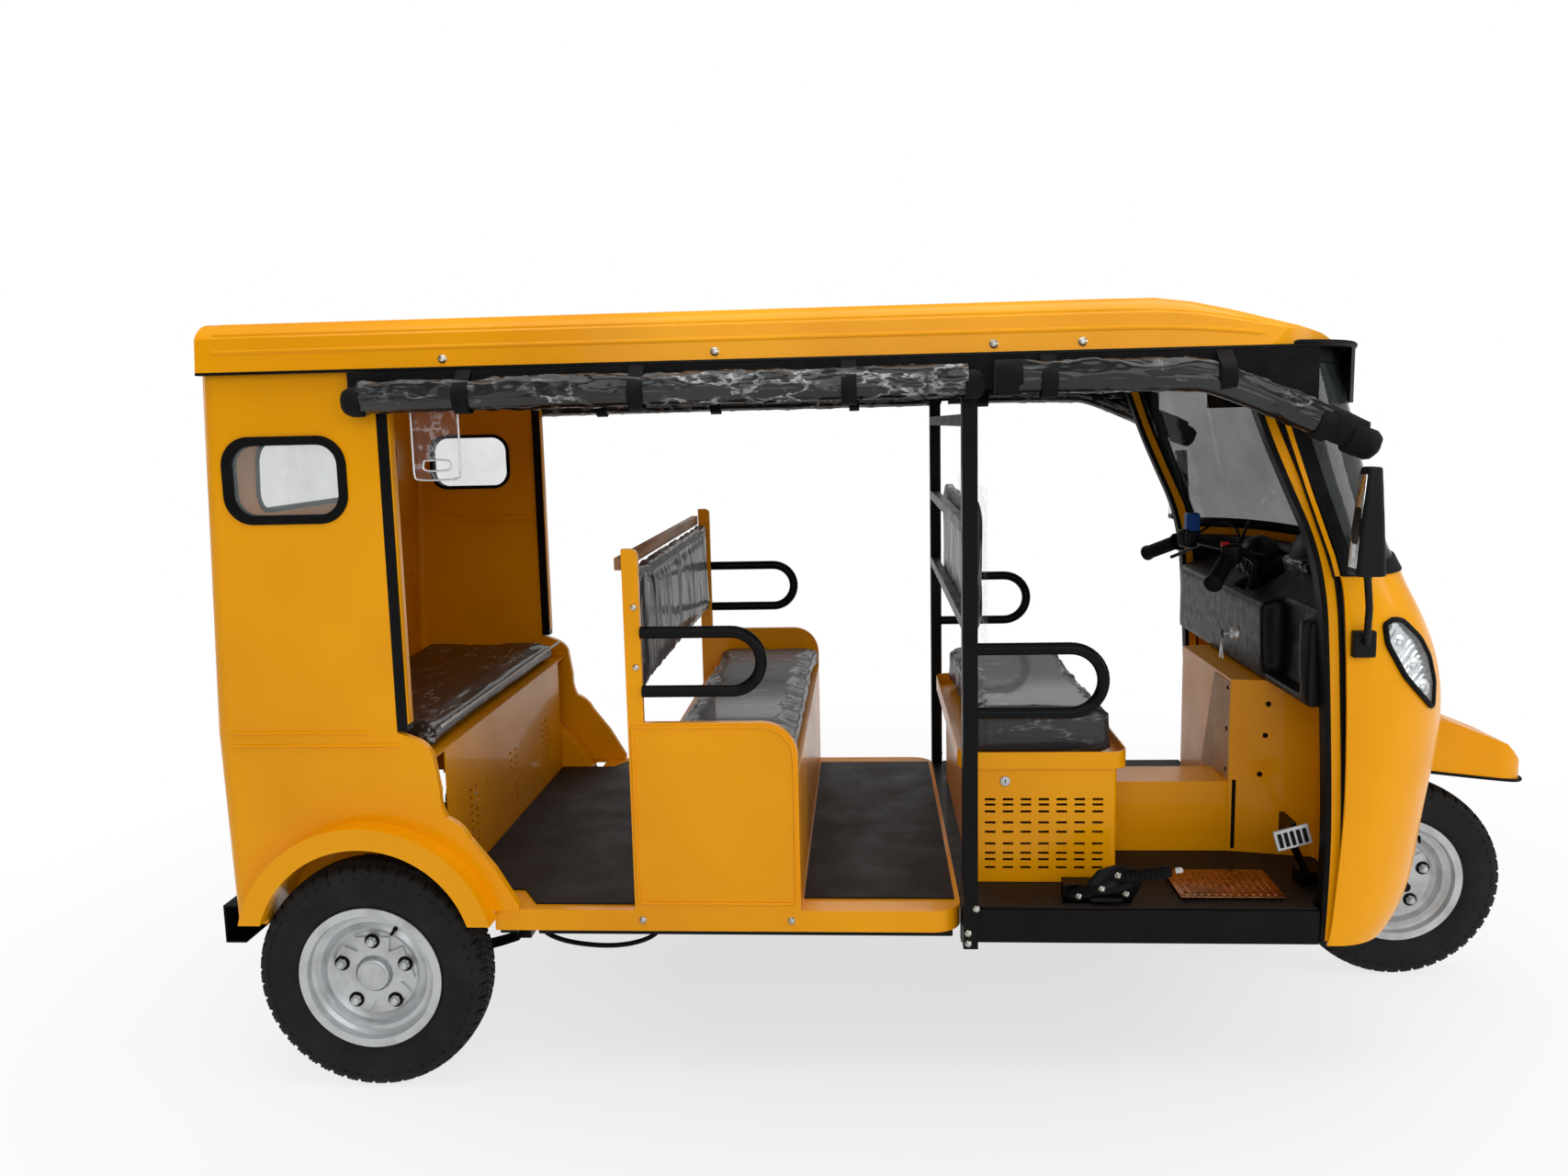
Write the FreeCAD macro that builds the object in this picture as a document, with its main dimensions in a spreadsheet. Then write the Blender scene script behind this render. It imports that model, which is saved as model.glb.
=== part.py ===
import FreeCAD, Part
import math
import os

import Sketcher

V = FreeCAD.Vector

# Driving sizes in millimetres. X points forward, Y to the left, Z up, floor at Z = 0.
SIZES = {
    # wheels and tyres, 4.00-12
    "wheelbase": 2558,
    "rearAxleX": -1243,
    "tyreRadius": 270,
    "tyreWidth": 112,
    "bulgeRadius": 208,
    "shoulderRadius": 260,
    "beadInset": 10,
    "beadRadius": 153,
    "flangeRadius": 168,
    "rearWheelY": 619,
    "rimWall": 4,
    "hubBore": 15,
    "hubHalf": 50,
    "bearingGap": 0.05,
    "runGap": 6,
    # body shell
    "bodyHalf": 637,
    "bodyRearX": -1586,
    "cornerRadius": 38,
    "rearLean": 34,
    "panelWall": 20,
    "bodyBottomZ": 385,
    "doorEdgeX": -1153,
    "beltZ": 841,
    "quarterFrontX": -895,
    "windowRearX": -1500,
    "windowFrontX": -1237,
    "windowLowZ": 1328,
    "windowHighZ": 1502,
    "windowCorner": 55,
    "rearWindowHalf": 430,
    "rubberLip": 10,
    "rubberProud": 5,
    "glassWall": 4,
    # wheel arch
    "archX": -1243,
    "archZ": 330,
    "archRadius": 253,
    "lipWidth": 50,
    "fenderOut": 690,
    "fenderEndZ": 403,
    "linerY": 528,
    "sheet": 3,
    # floor
    "floorTopZ": 420,
    "floorDepth": 50,
    "floorFrontX": 115,
    "floorHalf": 628,
    "floorCorner": 64,
    "footwellHalf": 520,
    "matWall": 5,
    "cabFloorTopZ": 413,
    "cabSillLowZ": 335,
    "cabHalf": 600,
    "cabFloorFrontX": 1012,
    "frameFootX": 907,
    "pillarWidth": 30,
    # seats
    "rearSeatFaceX": -1087,
    "rearSeatTopZ": 772,
    "rearCushionHalf": 570,
    "rearCushionTopZ": 838,
    "middlePostX": -627,
    "postWidth": 36,
    "middlePostTopZ": 1249,
    "middleSeatFrontX": -247,
    "middleSideTopZ": 858,
    "middleSideCorner": 80,
    "middleSeatTopZ": 735,
    "middleCushionTopZ": 803,
    "middleBackTopZ": 1222,
    "middleBackLowZ": 905,
    "backThickness": 62,
    "driverBoxRearX": 152,
    "driverBoxFrontX": 494,
    "driverBoxHalf": 440,
    "driverBoxTopZ": 698,
    "trayTopZ": 738,
    "trayFrontX": 517,
    "driverCushionTopZ": 832,
    "driverBackLowZ": 1000,
    "driverBackTopZ": 1347,
    "driverBackHalf": 450,
    "slotLength": 25,
    "slotHeight": 6,
    "slotStep": 42,
    "armTube": 13.5,
    # posts and roof
    "cabPostX": 112,
    "cabPostWidth": 38,
    "roofEdgeZ": 1652,
    "roofHalf": 660,
    "roofTopZ": 1772,
    "roofRearX": -1540,
    "roofSideEndX": 700,
    "roofFrontX": 994,
    "visorSideX": 752,
    "visorFrontX": 1045,
    "visorHalf": 645,
    "visorLowZ": 1532,
    "visorTopZ": 1660,
    "visorWall": 6,
    "visorEndX": 950,
    "headerX": 740,
    "roofWall": 5,
    "railDepth": 28,
    "rollRadius": 34,
    "rollY": 684,
    "rollZ": 1580,
    # steering
    "rakeRun": 0.393,
    "trackPointX": 1365,
    "stemRadius": 18,
    "headWall": 12,
    "headLowZ": 650,
    "headHighZ": 880,
    "crownZ": 610,
    "clampZ": 1110,
    "forkLegY": 84,
    "forkLegRadius": 15,
    "gripY": 330,
    "barRadius": 11,
    "gripRadius": 17,
    "guardHalf": 92,
    "guardWall": 4,
    # front body
    "screenLowZ": 1165,
    "screenHighZ": 1648,
    "screenLip": 12,
    "screenBand": 30,
    "dashHalf": 548,
    "dashEndX": 885,
    "noseWall": 6,
    "noseArchHalf": 260,
    "noseArchTopZ": 780,
    "humpRearX": 813,
    "humpSideY": 226,
    "humpTopZ": 855,
    "wallX": 1015,
    "tunnelTopZ": 597,
    "tunnelLeftY": -90,
    # frame and running gear
    "railY": 300,
    "railWidth": 60,
    "railLowZ": 306,
    "railHighZ": 366,
    "axleTube": 34,
    "springY": 455,
    "springWidth": 50,
    "springHalf": 296,
    "springRise": 52,
    "bumperRearX": -1620,
    "bumperLowZ": 322,
    "bumperHighZ": 414,
}


class Size:
    """A number that keeps the spreadsheet formula it comes from."""

    def __init__(self, number, formula=None):
        self.number = float(number)
        self.formula = formula or "(%r)" % float(number)

    def __float__(self):
        return self.number

    def __add__(self, other):
        return combine(self, "+", other)

    def __radd__(self, other):
        return combine(other, "+", self)

    def __sub__(self, other):
        return combine(self, "-", other)

    def __rsub__(self, other):
        return combine(other, "-", self)

    def __mul__(self, other):
        return combine(self, "*", other)

    def __rmul__(self, other):
        return combine(other, "*", self)

    def __truediv__(self, other):
        return combine(self, "/", other)

    def __neg__(self):
        return combine(-1, "*", self)

    def root(self):
        return Size(math.sqrt(self.number), "sqrt(%s)" % self.formula)


def asSize(value):
    return value if isinstance(value, Size) else Size(value)


def combine(left, sign, right):
    left, right = asSize(left), asSize(right)
    a, b = left.number, right.number
    number = {"+": a + b, "-": a - b, "*": a * b}[sign] if sign != "/" else a / b
    return Size(number, "(%s %s %s)" % (left.formula, sign, right.formula))


class Sheet:
    """The driving sizes as attributes, each tied to its spreadsheet cell."""

    def __init__(self, document, values):
        self.item = document.addObject("Spreadsheet::Sheet", "Sizes")
        for row, (name, value) in enumerate(values.items(), start=1):
            self.item.set("A%d" % row, name)
            self.item.set("B%d" % row, str(value))
            self.item.setAlias("B%d" % row, name)
            setattr(self, name, Size(value, "Sizes." + name))


doc = FreeCAD.newDocument("AutoRickshaw")
d = Sheet(doc, SIZES)
nodes = {}

PLANES = {"XY": "XY_Plane", "XZ": "XZ_Plane", "YZ": "YZ_Plane"}


def bind(item, prop, value):
    item.setExpression(prop, asSize(value).formula)


def newBody(label):
    return doc.addObject("PartDesign::Body", label)


def keep(label, *items):
    """Files one object, or several that stand apart, as the sub-part of this name."""
    item = items[0]
    if len(items) > 1:
        item = doc.addObject("Part::Compound", label)
        item.Links = list(items)
    item.Label = label
    nodes[label] = item
    return item


def arcBetween(start, end, radius, turn):
    """An arc from start to end, turning left (1) or right (-1), and whether it is reversed."""
    chord = end - start
    left = V(-chord.y, chord.x, 0).normalize()
    rise = math.sqrt(max(radius ** 2 - (chord.Length / 2) ** 2, 0))
    centre = (start + end) * 0.5 + left * rise * turn
    angles = [math.atan2(p.y - centre.y, p.x - centre.x) for p in (start, end)]
    if turn < 0:
        angles.reverse()
    return Part.ArcOfCircle(Part.Circle(centre, V(0, 0, 1), radius), *angles), turn < 0


def addOutline(sketch, points):
    """Draws a closed outline. A point is (x, y), or (x, y, radius, turn) if an arc reaches it."""
    spots = [V(float(asSize(p[0])), float(asSize(p[1])), 0) for p in points]
    count = len(points)
    first = sketch.GeometryCount
    reversedEdges = []
    radii = []
    for index in range(count):
        after = (index + 1) % count
        if len(points[after]) > 2:
            radius = asSize(points[after][2])
            edge, flipped = arcBetween(spots[index], spots[after], float(radius), points[after][3])
            radii.append((first + index, radius))
        else:
            edge, flipped = Part.LineSegment(spots[index], spots[after]), False
        sketch.addGeometry(edge, False)
        reversedEdges.append(flipped)
    for index in range(count):
        after = (index + 1) % count
        tail = 1 if reversedEdges[index] else 2
        head = 2 if reversedEdges[after] else 1
        sketch.addConstraint(Sketcher.Constraint("Coincident", first + index, tail, first + after, head))
    for index, point in enumerate(points):
        head = 2 if reversedEdges[index] else 1
        for axis, value in (("DistanceX", point[0]), ("DistanceY", point[1])):
            value = asSize(value)
            rule = Sketcher.Constraint(axis, -1, 1, first + index, head, float(value))
            bind(sketch, "Constraints[%d]" % sketch.addConstraint(rule), value)
    for edge, radius in radii:
        rule = Sketcher.Constraint("Radius", edge, float(radius))
        bind(sketch, "Constraints[%d]" % sketch.addConstraint(rule), radius)


def newSketch(body, plane, offset, *outlines):
    sketch = body.newObject("Sketcher::SketchObject", body.Name + "_sketch")
    plane = [f for f in body.Origin.OriginFeatures if f.Role == PLANES[plane]][0]
    sketch.AttachmentSupport = [(plane, "")]
    sketch.MapMode = "FlatFace"
    for outline in outlines:
        addOutline(sketch, outline)
    bind(sketch, "AttachmentOffset.Base.z", offset)
    return sketch


def pad(body, plane, low, high, *outlines):
    """Adds the outline between two coordinates along the plane's axis."""
    offset = -1 * high if plane == "XZ" else asSize(low)
    sketch = newSketch(body, plane, offset, *outlines)
    solid = body.newObject("PartDesign::Pad", body.Name + "_pad")
    solid.Profile = sketch
    bind(solid, "Length", high - asSize(low))
    return solid


def cut(body, plane, low, high, *outlines):
    """Removes the outline between two coordinates along the plane's axis."""
    offset = -1 * asSize(low) if plane == "XZ" else asSize(high)
    sketch = newSketch(body, plane, offset, *outlines)
    pocket = body.newObject("PartDesign::Pocket", body.Name + "_cut")
    pocket.Profile = sketch
    bind(pocket, "Length", high - asSize(low))
    return pocket


def revolve(body, outline):
    """Turns a profile of the YZ plane about the body's Y axis."""
    sketch = newSketch(body, "YZ", 0, outline)
    turn = body.newObject("PartDesign::Revolution", body.Name + "_turn")
    turn.Profile = sketch
    turn.ReferenceAxis = (sketch, ["H_Axis"])
    turn.Angle = 360
    return turn


def rectangle(x0, x1, y0, y1):
    return [(x0, y0), (x1, y0), (x1, y1), (x0, y1)]


def rounded(x0, x1, y0, y1, r):
    """A rectangle with four round corners."""
    x0, x1, y0, y1, r = [asSize(v) for v in (x0, x1, y0, y1, r)]
    return [(x0 + r, y0, r, 1), (x1 - r, y0), (x1, y0 + r, r, 1), (x1, y1 - r),
            (x1 - r, y1, r, 1), (x0 + r, y1), (x0, y1 - r, r, 1), (x0, y0 + r)]


def place(item, x, y, z):
    for axis, value in (("x", x), ("y", y), ("z", z)):
        bind(item, "Placement.Base." + axis, value)


def box(label, x0, x1, y0, y1, z0, z1):
    item = doc.addObject("Part::Box", label)
    for prop, low, high in (("Length", x0, x1), ("Width", y0, y1), ("Height", z0, z1)):
        bind(item, prop, asSize(high) - low)
    place(item, x0, y0, z0)
    return item


def fuse(label, *items):
    item = doc.addObject("Part::MultiFuse", label)
    item.Shapes = list(items)
    return item


def feature(label, shape):
    item = doc.addObject("Part::Feature", label)
    item.Shape = shape
    return item


def rod(points, radius):
    """Straight round bar through the points, with ball corners."""
    shape = None
    for index in range(len(points) - 1):
        start, end = V(*points[index]), V(*points[index + 1])
        piece = Part.makeCylinder(radius, (end - start).Length, start, end - start)
        if index:
            piece = piece.fuse(Part.makeSphere(radius, start))
        shape = piece if shape is None else shape.fuse(piece)
    return shape.removeSplitter()


def numbers(*values):
    return [float(v) for v in values]


frontAxleX = d.rearAxleX + d.wheelbase


def axisX(z):
    """Where the steering axis is at a height."""
    return d.trackPointX - d.rakeRun * z


def wheel(tyreLabel, rimLabel, x, y, outward, bore, capped):
    """A tyre on a dished steel disc wheel. outward is -1 when its face looks to the right."""
    half = d.tyreWidth / 2
    bead, bulge, shoulder, crown = d.beadRadius, d.bulgeRadius, d.shoulderRadius, d.tyreRadius
    narrow = half - d.beadInset
    tyre = newBody(tyreLabel)
    revolve(tyre, [
        (-narrow, bead), (narrow, bead), (half, bulge), (narrow, shoulder), (0, crown), (-narrow, shoulder),
        (-half, bulge)])
    place(tyre, x, y, d.tyreRadius)
    keep(tyreLabel, tyre)

    s = outward
    seat = bead - 0.3
    edge = half - 3
    wall = d.rimWall
    if capped:
        hubEnd = [(s * 36, 37), (s * 38, 34), (s * 38, 0.02), (s * 34, 0.02), (s * 34, bore)]
    else:
        hubEnd = [(s * 48, 36), (s * d.hubHalf, 32), (s * d.hubHalf, bore)]
    profile = [
        (s * (edge - wall), seat + 6), (s * (edge - wall), d.flangeRadius), (s * edge, d.flangeRadius),
        (s * edge, seat - wall), (s * 36, 146), (s * 30, 138), (s * 30, 127), (s * 21, 122), (s * 28, 111),
        (s * 20, 99), (s * 20, 42), (s * 26, 38),
        *hubEnd, (s * -d.hubHalf, bore),
        (s * -d.hubHalf, 78), (s * (4 - d.hubHalf), 84), (s * 12, 84), (s * 14, 104),
        (s * 20, seat - 24), (s * 20, seat - 16), (s * -16, seat - 16), (s * -26, seat - wall - 2),
        (s * -edge, seat - wall), (s * -edge, d.flangeRadius), (s * -(edge - wall), d.flangeRadius),
        (s * -(edge - wall), seat), (s * -26, seat), (s * -16, seat - 12), (s * 16, seat - 12),
        (s * 26, seat), (s * (edge - wall), seat)]
    rim = newBody(rimLabel)
    revolve(rim, profile)
    star = []
    for arm in range(5):
        for turn, radius in ((-36, 64), (-25, 96), (25, 96)):
            angle = math.radians(90 + 72 * arm + turn)
            star.append((radius * math.cos(angle), radius * math.sin(angle)))
    y0, y1 = sorted((s * 19, s * 26))
    ring = [(44 * math.cos(math.pi * k / 8), 44 * math.sin(math.pi * k / 8)) for k in range(16)]
    pad(rim, "XZ", y0, y1, star, ring)
    place(rim, x, y, d.tyreRadius)
    keep(rimLabel, rim)


def chassis():
    rails = []
    for side in (-1, 1):
        y0 = side * d.railY - d.railWidth / 2
        rails.append(box("rail", d.bumperRearX + 50, 1000, y0, y0 + d.railWidth, d.railLowZ, d.railHighZ))
    beams = []
    for x in (-1555, -945, -600, -260, -10):
        top = d.floorTopZ - d.sheet if x > -1000 else d.bodyBottomZ - 0.3
        reach = d.floorHalf - d.sheet if x > -950 else d.footwellHalf - 12
        beams.append(box("beam", x, x + 40, -reach, reach, d.railHighZ - 4, top))
    for x in (235, 600, 900):
        reach = d.cabHalf - (30 if x < 800 else 44)
        beams.append(box("cabBeam", x, x + 40, -reach, reach, d.railHighZ - 4, d.cabFloorTopZ - d.sheet))
    beams.append(box("noseBeam", 960, 1000, -d.railY - 30, d.railY + 30, d.railLowZ, d.railHighZ))
    for x in (-955, -1569):
        for side in (-1, 1):
            y0 = side * d.springY - d.springWidth / 2 - 8
            y1 = side * d.springY + d.springWidth / 2 + 8
            beams.append(box("hanger", x, x + 40, y0, y1, d.tyreRadius - d.axleTube + d.springRise, 372))
    nose = []
    radius = float(d.stemRadius + d.headWall)
    lowZ, highZ = numbers(d.headLowZ, d.headHighZ)
    low, high = [V(float(axisX(z)), 0, z) for z in (lowZ, highZ)]
    tube = Part.makeCylinder(radius, (high - low).Length, low, high - low)
    for side in (-1, 1):
        foot = (980, side * 190, float(d.railHighZ) - 20)
        neck = (float(axisX(770)), side * 8, 770)
        tube = tube.fuse(rod([foot, neck], 19))
    run = (high - low).normalize()
    bore = Part.makeCylinder(float(d.stemRadius + d.bearingGap), 1200, low - run * 300, run)
    nose.append(feature("headTube", tube.cut(bore)))
    keep("chassis_frame", fuse("frameParts", *(rails + beams + nose)))


def floors():
    lowZ = d.floorTopZ - d.floorDepth
    rear, front, half = d.quarterFrontX - 60, d.floorFrontX, d.floorHalf
    tongue, inner, corner, t = d.rearSeatFaceX, d.footwellHalf, d.floorCorner, d.sheet
    pan = newBody("floor_pan")
    pad(pan, "XY", lowZ, d.floorTopZ, [
        (rear, -half), (front - corner, -half), (front, -half + corner, corner, 1),
        (front, half - corner), (front - corner, half, corner, 1), (rear, half), (rear, inner),
        (tongue, inner), (tongue, -inner), (rear, -inner)])
    cut(pan, "XY", lowZ, d.floorTopZ - t, [
        (rear, -half + t), (front - corner, -half + t), (front - t, -half + corner, corner - t, 1),
        (front - t, half - corner), (front - corner, half - t, corner - t, 1), (rear, half - t),
        (rear, inner - t), (tongue, inner - t), (tongue, -inner + t), (rear, -inner + t)])
    keep("floor_pan", pan)

    half, front, low = d.cabHalf, d.cabFloorFrontX, d.cabSillLowZ
    top = d.cabFloorTopZ
    cab = newBody("cab_floor")
    frameIn = half - 44
    pad(cab, "XY", top - t, top, [
        (d.frameFootX, -half), (d.frameFootX, -frameIn), (front, -frameIn), (front, -260),
        (d.humpRearX + 8, -214), (d.humpRearX + 8, 214), (front, 260), (front, frameIn),
        (d.frameFootX, frameIn), (d.frameFootX, half), (d.floorFrontX, half), (d.floorFrontX, -half)],
        rectangle(272, 478, -190, 190))
    for side in (-1, 1):
        y0, y1 = sorted((side * half, side * (half - 30)), key=float)
        pad(cab, "XY", low, top - t / 2, rectangle(d.floorFrontX, d.frameFootX, y0, y1))
    keep("cab_floor", cab)

    z0, z1 = d.floorTopZ, d.floorTopZ + d.matWall
    mats = []
    rearMat = newBody("rearMat")
    pad(rearMat, "XY", z0, z1, [
        (d.rearSeatFaceX + 4, -inner + 6), (rear + 40, -inner + 6), (rear + 90, -d.floorHalf + 30),
        (d.middlePostX + 30, -d.floorHalf + 30), (d.middlePostX + 30, d.floorHalf - 30),
        (rear + 90, d.floorHalf - 30), (rear + 40, inner - 6), (d.rearSeatFaceX + 4, inner - 6)])
    middleMat = newBody("middleMat")
    pad(middleMat, "XY", z0, z1, rectangle(d.middleSeatFrontX + 4, d.floorFrontX - 12,
                                           -d.floorHalf + 70, d.floorHalf - 70))
    z0, z1 = d.cabFloorTopZ, d.cabFloorTopZ + d.matWall
    cabHalf = d.cabHalf - 8
    box0, box1, side = d.driverBoxRearX, d.driverBoxFrontX, d.driverBoxHalf
    nearMat = newBody("nearMat")
    pad(nearMat, "XY", z0, z1, [
        (box0, -cabHalf), (d.frameFootX - 4, -cabHalf), (d.frameFootX - 4, -frameIn + 4),
        (d.wallX - 8, -frameIn + 4), (d.wallX - 8, -276),
        (d.humpRearX - 4, -d.humpSideY - 6), (box1 + 4, -d.humpSideY - 6), (box1 + 4, -side - 4),
        (box0, -side - 4)])
    farMat = newBody("farMat")
    pad(farMat, "XY", z0, z1, [
        (box0, side + 4), (box1 + 4, side + 4), (box1 + 4, d.tunnelLeftY + 6),
        (d.humpRearX - 4, d.tunnelLeftY + 6), (d.humpRearX - 4, d.humpSideY + 6), (d.wallX - 8, 276),
        (d.wallX - 8, frameIn - 4), (d.frameFootX - 4, frameIn - 4), (d.frameFootX - 4, cabHalf),
        (box0, cabHalf)])
    mats = [rearMat, middleMat, nearMat, farMat]
    keep("floor_mats", *mats)


def archSpan(radius, z):
    """Half of the wheel arch's width at a height."""
    rise = z - d.archZ
    return (radius * radius - rise * rise).root()


def rearSide(label, side):
    outer, inner = side * d.bodyHalf, side * (d.bodyHalf - d.panelWall)
    y0, y1 = sorted((outer, inner), key=float)
    seam = d.bodyRearX + d.cornerRadius + d.rearLean + 1
    foot = d.floorTopZ
    r = d.archRadius + d.sheet
    panel = newBody(label)
    pad(panel, "XZ", y0, y1, [
        (seam, d.bodyBottomZ), (d.archX - archSpan(r, d.bodyBottomZ), d.bodyBottomZ),
        (d.archX + archSpan(r, foot), foot, r, -1), (d.quarterFrontX, foot),
        (d.quarterFrontX, foot + 12), (-946, 520), (-1001, 592), (-1052, 640, 90, 1), (-1063, 705, 120, -1),
        (-1075, 787), (-1109, 824, 60, 1), (d.doorEdgeX, d.beltZ), (d.doorEdgeX, d.roofEdgeZ),
        (seam, d.roofEdgeZ)])
    cut(panel, "XZ", y0, y1,
        rounded(d.windowRearX, d.windowFrontX, d.windowLowZ, d.windowHighZ, d.windowCorner))
    keep(label, panel)


def planWire(rear, half, front, corner, z):
    """The rear wall's plan: open to the front, with two round corners."""
    r = corner
    k = r * (1 - math.sqrt(0.5))
    points = [V(front, -half, z), V(rear + r, -half, z), V(rear, -half + r, z), V(rear, half - r, z),
              V(rear + r, half, z), V(front, half, z)]
    edges = [
        Part.makeLine(points[0], points[1]),
        Part.Arc(points[1], V(rear + k, -half + k, z), points[2]).toShape(),
        Part.makeLine(points[2], points[3]),
        Part.Arc(points[3], V(rear + k, half - k, z), points[4]).toShape(),
        Part.makeLine(points[4], points[5]),
        Part.makeLine(points[5], points[0])]
    return Part.Wire(edges)


def rearWall():
    rear, half, r, wall, low, belt, top, lean = numbers(
        d.bodyRearX, d.bodyHalf, d.cornerRadius, d.panelWall, d.bodyBottomZ, d.beltZ, d.roofEdgeZ, d.rearLean)
    front = rear + r + lean + 1
    levels = [(low, 8), (belt, 0), (top, lean)]
    outer = [planWire(rear + shift, half, front, r, z) for z, shift in levels]
    inner = [planWire(rear + shift + wall, half - wall, front + 10, r - wall, z + dz)
             for (z, shift), dz in zip(levels, (-5, 0, 5))]
    shell = Part.makeLoft(outer, True, True).cut(Part.makeLoft(inner, True, True))
    halfWindow, z0, z1, corner = numbers(d.rearWindowHalf, d.windowLowZ, d.windowHighZ, d.windowCorner)
    shell = shell.cut(roundedPrism("X", rear - 50, rear + 200, -halfWindow, halfWindow, z0, z1, corner))
    keep("rear_panel", feature("rear_panel", shell))


def roundedPrism(axis, low, high, a0, a1, z0, z1, r):
    """A bar with a rounded rectangle for its section, along X, Y or Z."""
    def spot(a, b):
        return {"X": V(low, a, b), "Y": V(a, low, b), "Z": V(a, b, low)}[axis]
    k = r * (1 - math.sqrt(0.5))
    corners = [((a1 - r, z0), (a1 - k, z0 + k), (a1, z0 + r)), ((a1, z1 - r), (a1 - k, z1 - k), (a1 - r, z1)),
               ((a0 + r, z1), (a0 + k, z1 - k), (a0, z1 - r)), ((a0, z0 + r), (a0 + k, z0 + k), (a0 + r, z0))]
    edges = []
    for index, (start, middle, end) in enumerate(corners):
        edges.append(Part.Arc(spot(*start), spot(*middle), spot(*end)).toShape())
        edges.append(Part.makeLine(spot(*end), spot(*corners[(index + 1) % 4][0])))
    run = {"X": V(1, 0, 0), "Y": V(0, 1, 0), "Z": V(0, 0, 1)}[axis] * (high - low)
    return Part.Face(Part.Wire(edges)).extrude(run)


def windows():
    x0, x1, z0, z1, r = d.windowRearX, d.windowFrontX, d.windowLowZ, d.windowHighZ, d.windowCorner
    lip, proud, glass = d.rubberLip, d.rubberProud, d.glassWall
    rings, panes = [], []
    for side in (-1, 1):
        outer = side * (d.bodyHalf + proud)
        inner = side * (d.bodyHalf - d.panelWall - proud)
        y0, y1 = sorted((outer, inner), key=float)
        ring = newBody("rubber")
        pad(ring, "XZ", y0, y1, rounded(x0, x1, z0, z1, r),
            rounded(x0 + lip, x1 - lip, z0 + lip, z1 - lip, r - lip))
        f0, f1 = sorted((side * d.bodyHalf, outer), key=float)
        pad(ring, "XZ", f0, f1, rounded(x0 - lip, x1 + lip, z0 - lip, z1 + lip, r + lip),
            rounded(x0 + lip, x1 - lip, z0 + lip, z1 - lip, r - lip))
        rings.append(ring)
        pane = newBody("pane")
        middle = side * (d.bodyHalf - d.panelWall / 2)
        pad(pane, "XZ", middle - glass / 2, middle + glass / 2,
            rounded(x0 + lip, x1 - lip, z0 + lip, z1 - lip, r - lip))
        panes.append(pane)
    rear, half, wall = numbers(d.bodyRearX, d.rearWindowHalf, d.panelWall)
    low, high, corner, lipSize, out, pane = numbers(z0, z1, r, lip, proud, glass)
    ring = rearShell(-out, wall + out, half, low, high, corner)
    ring = ring.fuse(rearShell(-out, 0.0, half + lipSize, low - lipSize, high + lipSize, corner + lipSize))
    hole = roundedPrism("X", rear - 60, rear + 120, -half + lipSize, half - lipSize,
                        low + lipSize, high - lipSize, corner - lipSize)
    rings.append(feature("rearRubber", ring.cut(hole)))
    panes.append(feature("rearPane", rearShell(wall / 2 - pane / 2, wall / 2 + pane / 2, half - lipSize,
                                               low + lipSize, high - lipSize, corner - lipSize)))
    keep("window_rubbers", *rings)
    keep("window_glass", *panes)


def rearShell(depth0, depth1, half, low, high, corner):
    """A slab that follows the leaning rear wall, from one depth to another, rounded as a window."""
    rear, belt, top = numbers(d.bodyRearX, d.beltZ, d.roofEdgeZ)
    lean = float(d.rearLean) / (top - belt)
    def edge(depth, z):
        return V(rear + depth + lean * (z - belt), -900, z)
    points = [edge(depth0, belt), edge(depth1, belt), edge(depth1, top), edge(depth0, top)]
    slab = Part.Face(Part.makePolygon(points + points[:1])).extrude(V(0, 1800, 0))
    return slab.common(roundedPrism("X", rear - 80, rear + 160, -half, half, low, high, corner))


def rearFenders():
    pieces = []
    for side in (-1, 1):
        flare = newBody("flare")
        z, r0 = d.fenderEndZ, d.archRadius
        r1 = r0 + d.lipWidth
        band = [(d.archX + archSpan(r1, z), z), (d.archX - archSpan(r1, z), z, r1, 1),
                (d.archX - archSpan(r0, z), z), (d.archX + archSpan(r0, z), z, r0, -1)]
        y0, y1 = sorted((side * d.bodyHalf, side * d.fenderOut), key=float)
        pad(flare, "XZ", y0, y1, band)
        r2 = r0 + d.sheet
        liner = [(d.archX + archSpan(r2, z), z), (d.archX - archSpan(r2, z), z, r2, 1),
                 (d.archX - archSpan(r0, z), z), (d.archX + archSpan(r0, z), z, r0, -1)]
        y0, y1 = sorted((side * (d.bodyHalf + 2), side * d.linerY), key=float)
        pad(flare, "XZ", y0, y1, liner)
        cap = [(d.archX + archSpan(r2, z), z), (d.archX - archSpan(r2, z), z, r2, 1)]
        y0, y1 = sorted((side * (d.linerY - d.sheet), side * d.linerY), key=float)
        pad(flare, "XZ", y0, y1, cap)
        pieces.append(flare)
    keep("rear_fenders", *pieces)


def slotColumns(body, plane, low, high, first, rows, columns):
    """Cuts a column of cooling slots, then repeats it across the sheet."""
    half, tall = d.slotLength / 2, d.slotHeight / 2
    outlines = [rectangle(first - half, first + half, row - tall, row + tall) for row in rows]
    pocket = cut(body, plane, low, high, *outlines)
    repeatAcross(body, pocket, columns, d.slotStep)


def repeatAcross(body, pocket, count, step):
    pattern = body.newObject("PartDesign::LinearPattern", body.Name + "_row")
    pattern.Originals = [pocket]
    pattern.Direction = (pocket.Profile[0], ["H_Axis"])
    bind(pattern, "Length", step * (count - 1))
    pattern.Occurrences = count
    body.Tip = pattern


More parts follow.
